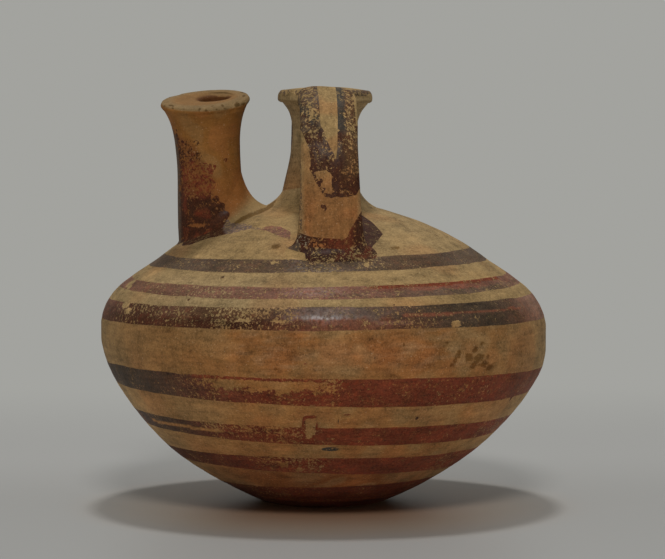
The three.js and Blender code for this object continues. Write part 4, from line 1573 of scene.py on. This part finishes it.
def hang_lamp(context, stage, name):
    """A round soft lamp, as the stage's sizes place it by its name."""
    parts = "distance", "size", "strength", "tilt", "turn"
    far, size, strength, tilt, turn = (getattr(stage, f"{name}_lamp_{part}") for part in parts)
    light = bpy.data.lights.new(f"{name.title()} lamp", "AREA")
    light.shape = "DISK"
    light.size = size
    light.energy = strength
    lamp = bpy.data.objects.new(light.name, light)
    out = far * math.sin(tilt)
    lamp.location = (
        out * math.sin(turn), -out * math.cos(turn), far * math.cos(tilt) + stage.lamp_aim,
    )
    lamp.rotation_euler = (tilt, 0, turn)
    context.scene.collection.objects.link(lamp)


def set_camera(context, stage):
    """The camera where the photograph was taken from."""
    camera = bpy.data.cameras.new("Camera")
    camera.sensor_fit = "HORIZONTAL"
    camera.sensor_width = 36
    camera.lens = stage.camera_lens
    camera.clip_end = 2 * stage.floor_depth
    eye = bpy.data.objects.new("Camera", camera)
    side, far = stage.camera_side, stage.camera_distance
    sin, cos = math.sin(stage.camera_turn), math.cos(stage.camera_turn)
    eye.location = (side * cos - far * sin, -side * sin - far * cos, stage.camera_height)
    eye.rotation_euler = (math.pi / 2 - stage.camera_tilt, 0, -stage.camera_turn)
    context.scene.collection.objects.link(eye)
    context.scene.camera = eye


class JAR_OT_stage(bpy.types.Operator):
    """Make the floor, the light and the camera"""

    bl_idname = "jar.stage"
    bl_label = "Make stage"

    def execute(self, context):
        stage = context.scene.jar_stage
        half, far = stage.floor_width / 2, stage.floor_depth
        mesh = bpy.data.meshes.new("stage_floor")
        corners = [(-half, -half, 0), (half, -half, 0), (half, far, 0), (-half, far, 0)]
        mesh.from_pydata(corners, [], [(0, 1, 2, 3)])
        floor = bpy.data.objects.new("stage_floor", mesh)
        context.scene.collection.objects.link(floor)
        mesh.materials.append(paper_finish(stage))
        light_sky(context, stage)
        for name in ("top", "front"):
            hang_lamp(context, stage, name)
        set_camera(context, stage)
        context.scene.view_settings.view_transform = "Standard"
        return {"FINISHED"}


class VIEW3D_PT_stirrup_jar(bpy.types.Panel):
    """Lists what makes the jar"""

    bl_label = "Stirrup jar"
    bl_idname = "VIEW3D_PT_stirrup_jar"
    bl_space_type = "VIEW_3D"
    bl_region_type = "UI"
    bl_category = "Jar"

    def draw(self, context):
        for operator in OPERATORS:
            self.layout.operator(operator.bl_idname)
        scene = context.scene
        for group in (scene.jar_sizes, scene.jar_colours, scene.jar_stage):
            box = self.layout.box()
            for name in group.__annotations__:
                box.prop(group, name)


OPERATORS = (JAR_OT_body, JAR_OT_neck, JAR_OT_spout, JAR_OT_handles, JAR_OT_stage)
CLASSES = (JarSizes, JarColours, StageSizes, *OPERATORS, VIEW3D_PT_stirrup_jar)


def register():
    """Adds the classes and the scene's settings."""
    for each in CLASSES:
        bpy.utils.register_class(each)
    bpy.types.Scene.jar_sizes = bpy.props.PointerProperty(type=JarSizes)
    bpy.types.Scene.jar_colours = bpy.props.PointerProperty(type=JarColours)
    bpy.types.Scene.jar_stage = bpy.props.PointerProperty(type=StageSizes)


def unregister():
    """Takes them out again."""
    del bpy.types.Scene.jar_stage
    del bpy.types.Scene.jar_colours
    del bpy.types.Scene.jar_sizes
    for each in reversed(CLASSES):
        bpy.utils.unregister_class(each)


def main():
    """Makes the jar and its stage."""
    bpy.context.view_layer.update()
    register()
    bpy.ops.jar.body()
    bpy.ops.jar.neck()
    bpy.ops.jar.spout()
    bpy.ops.jar.handles()
    bpy.ops.jar.stage()


if __name__ == "__main__":
    main()
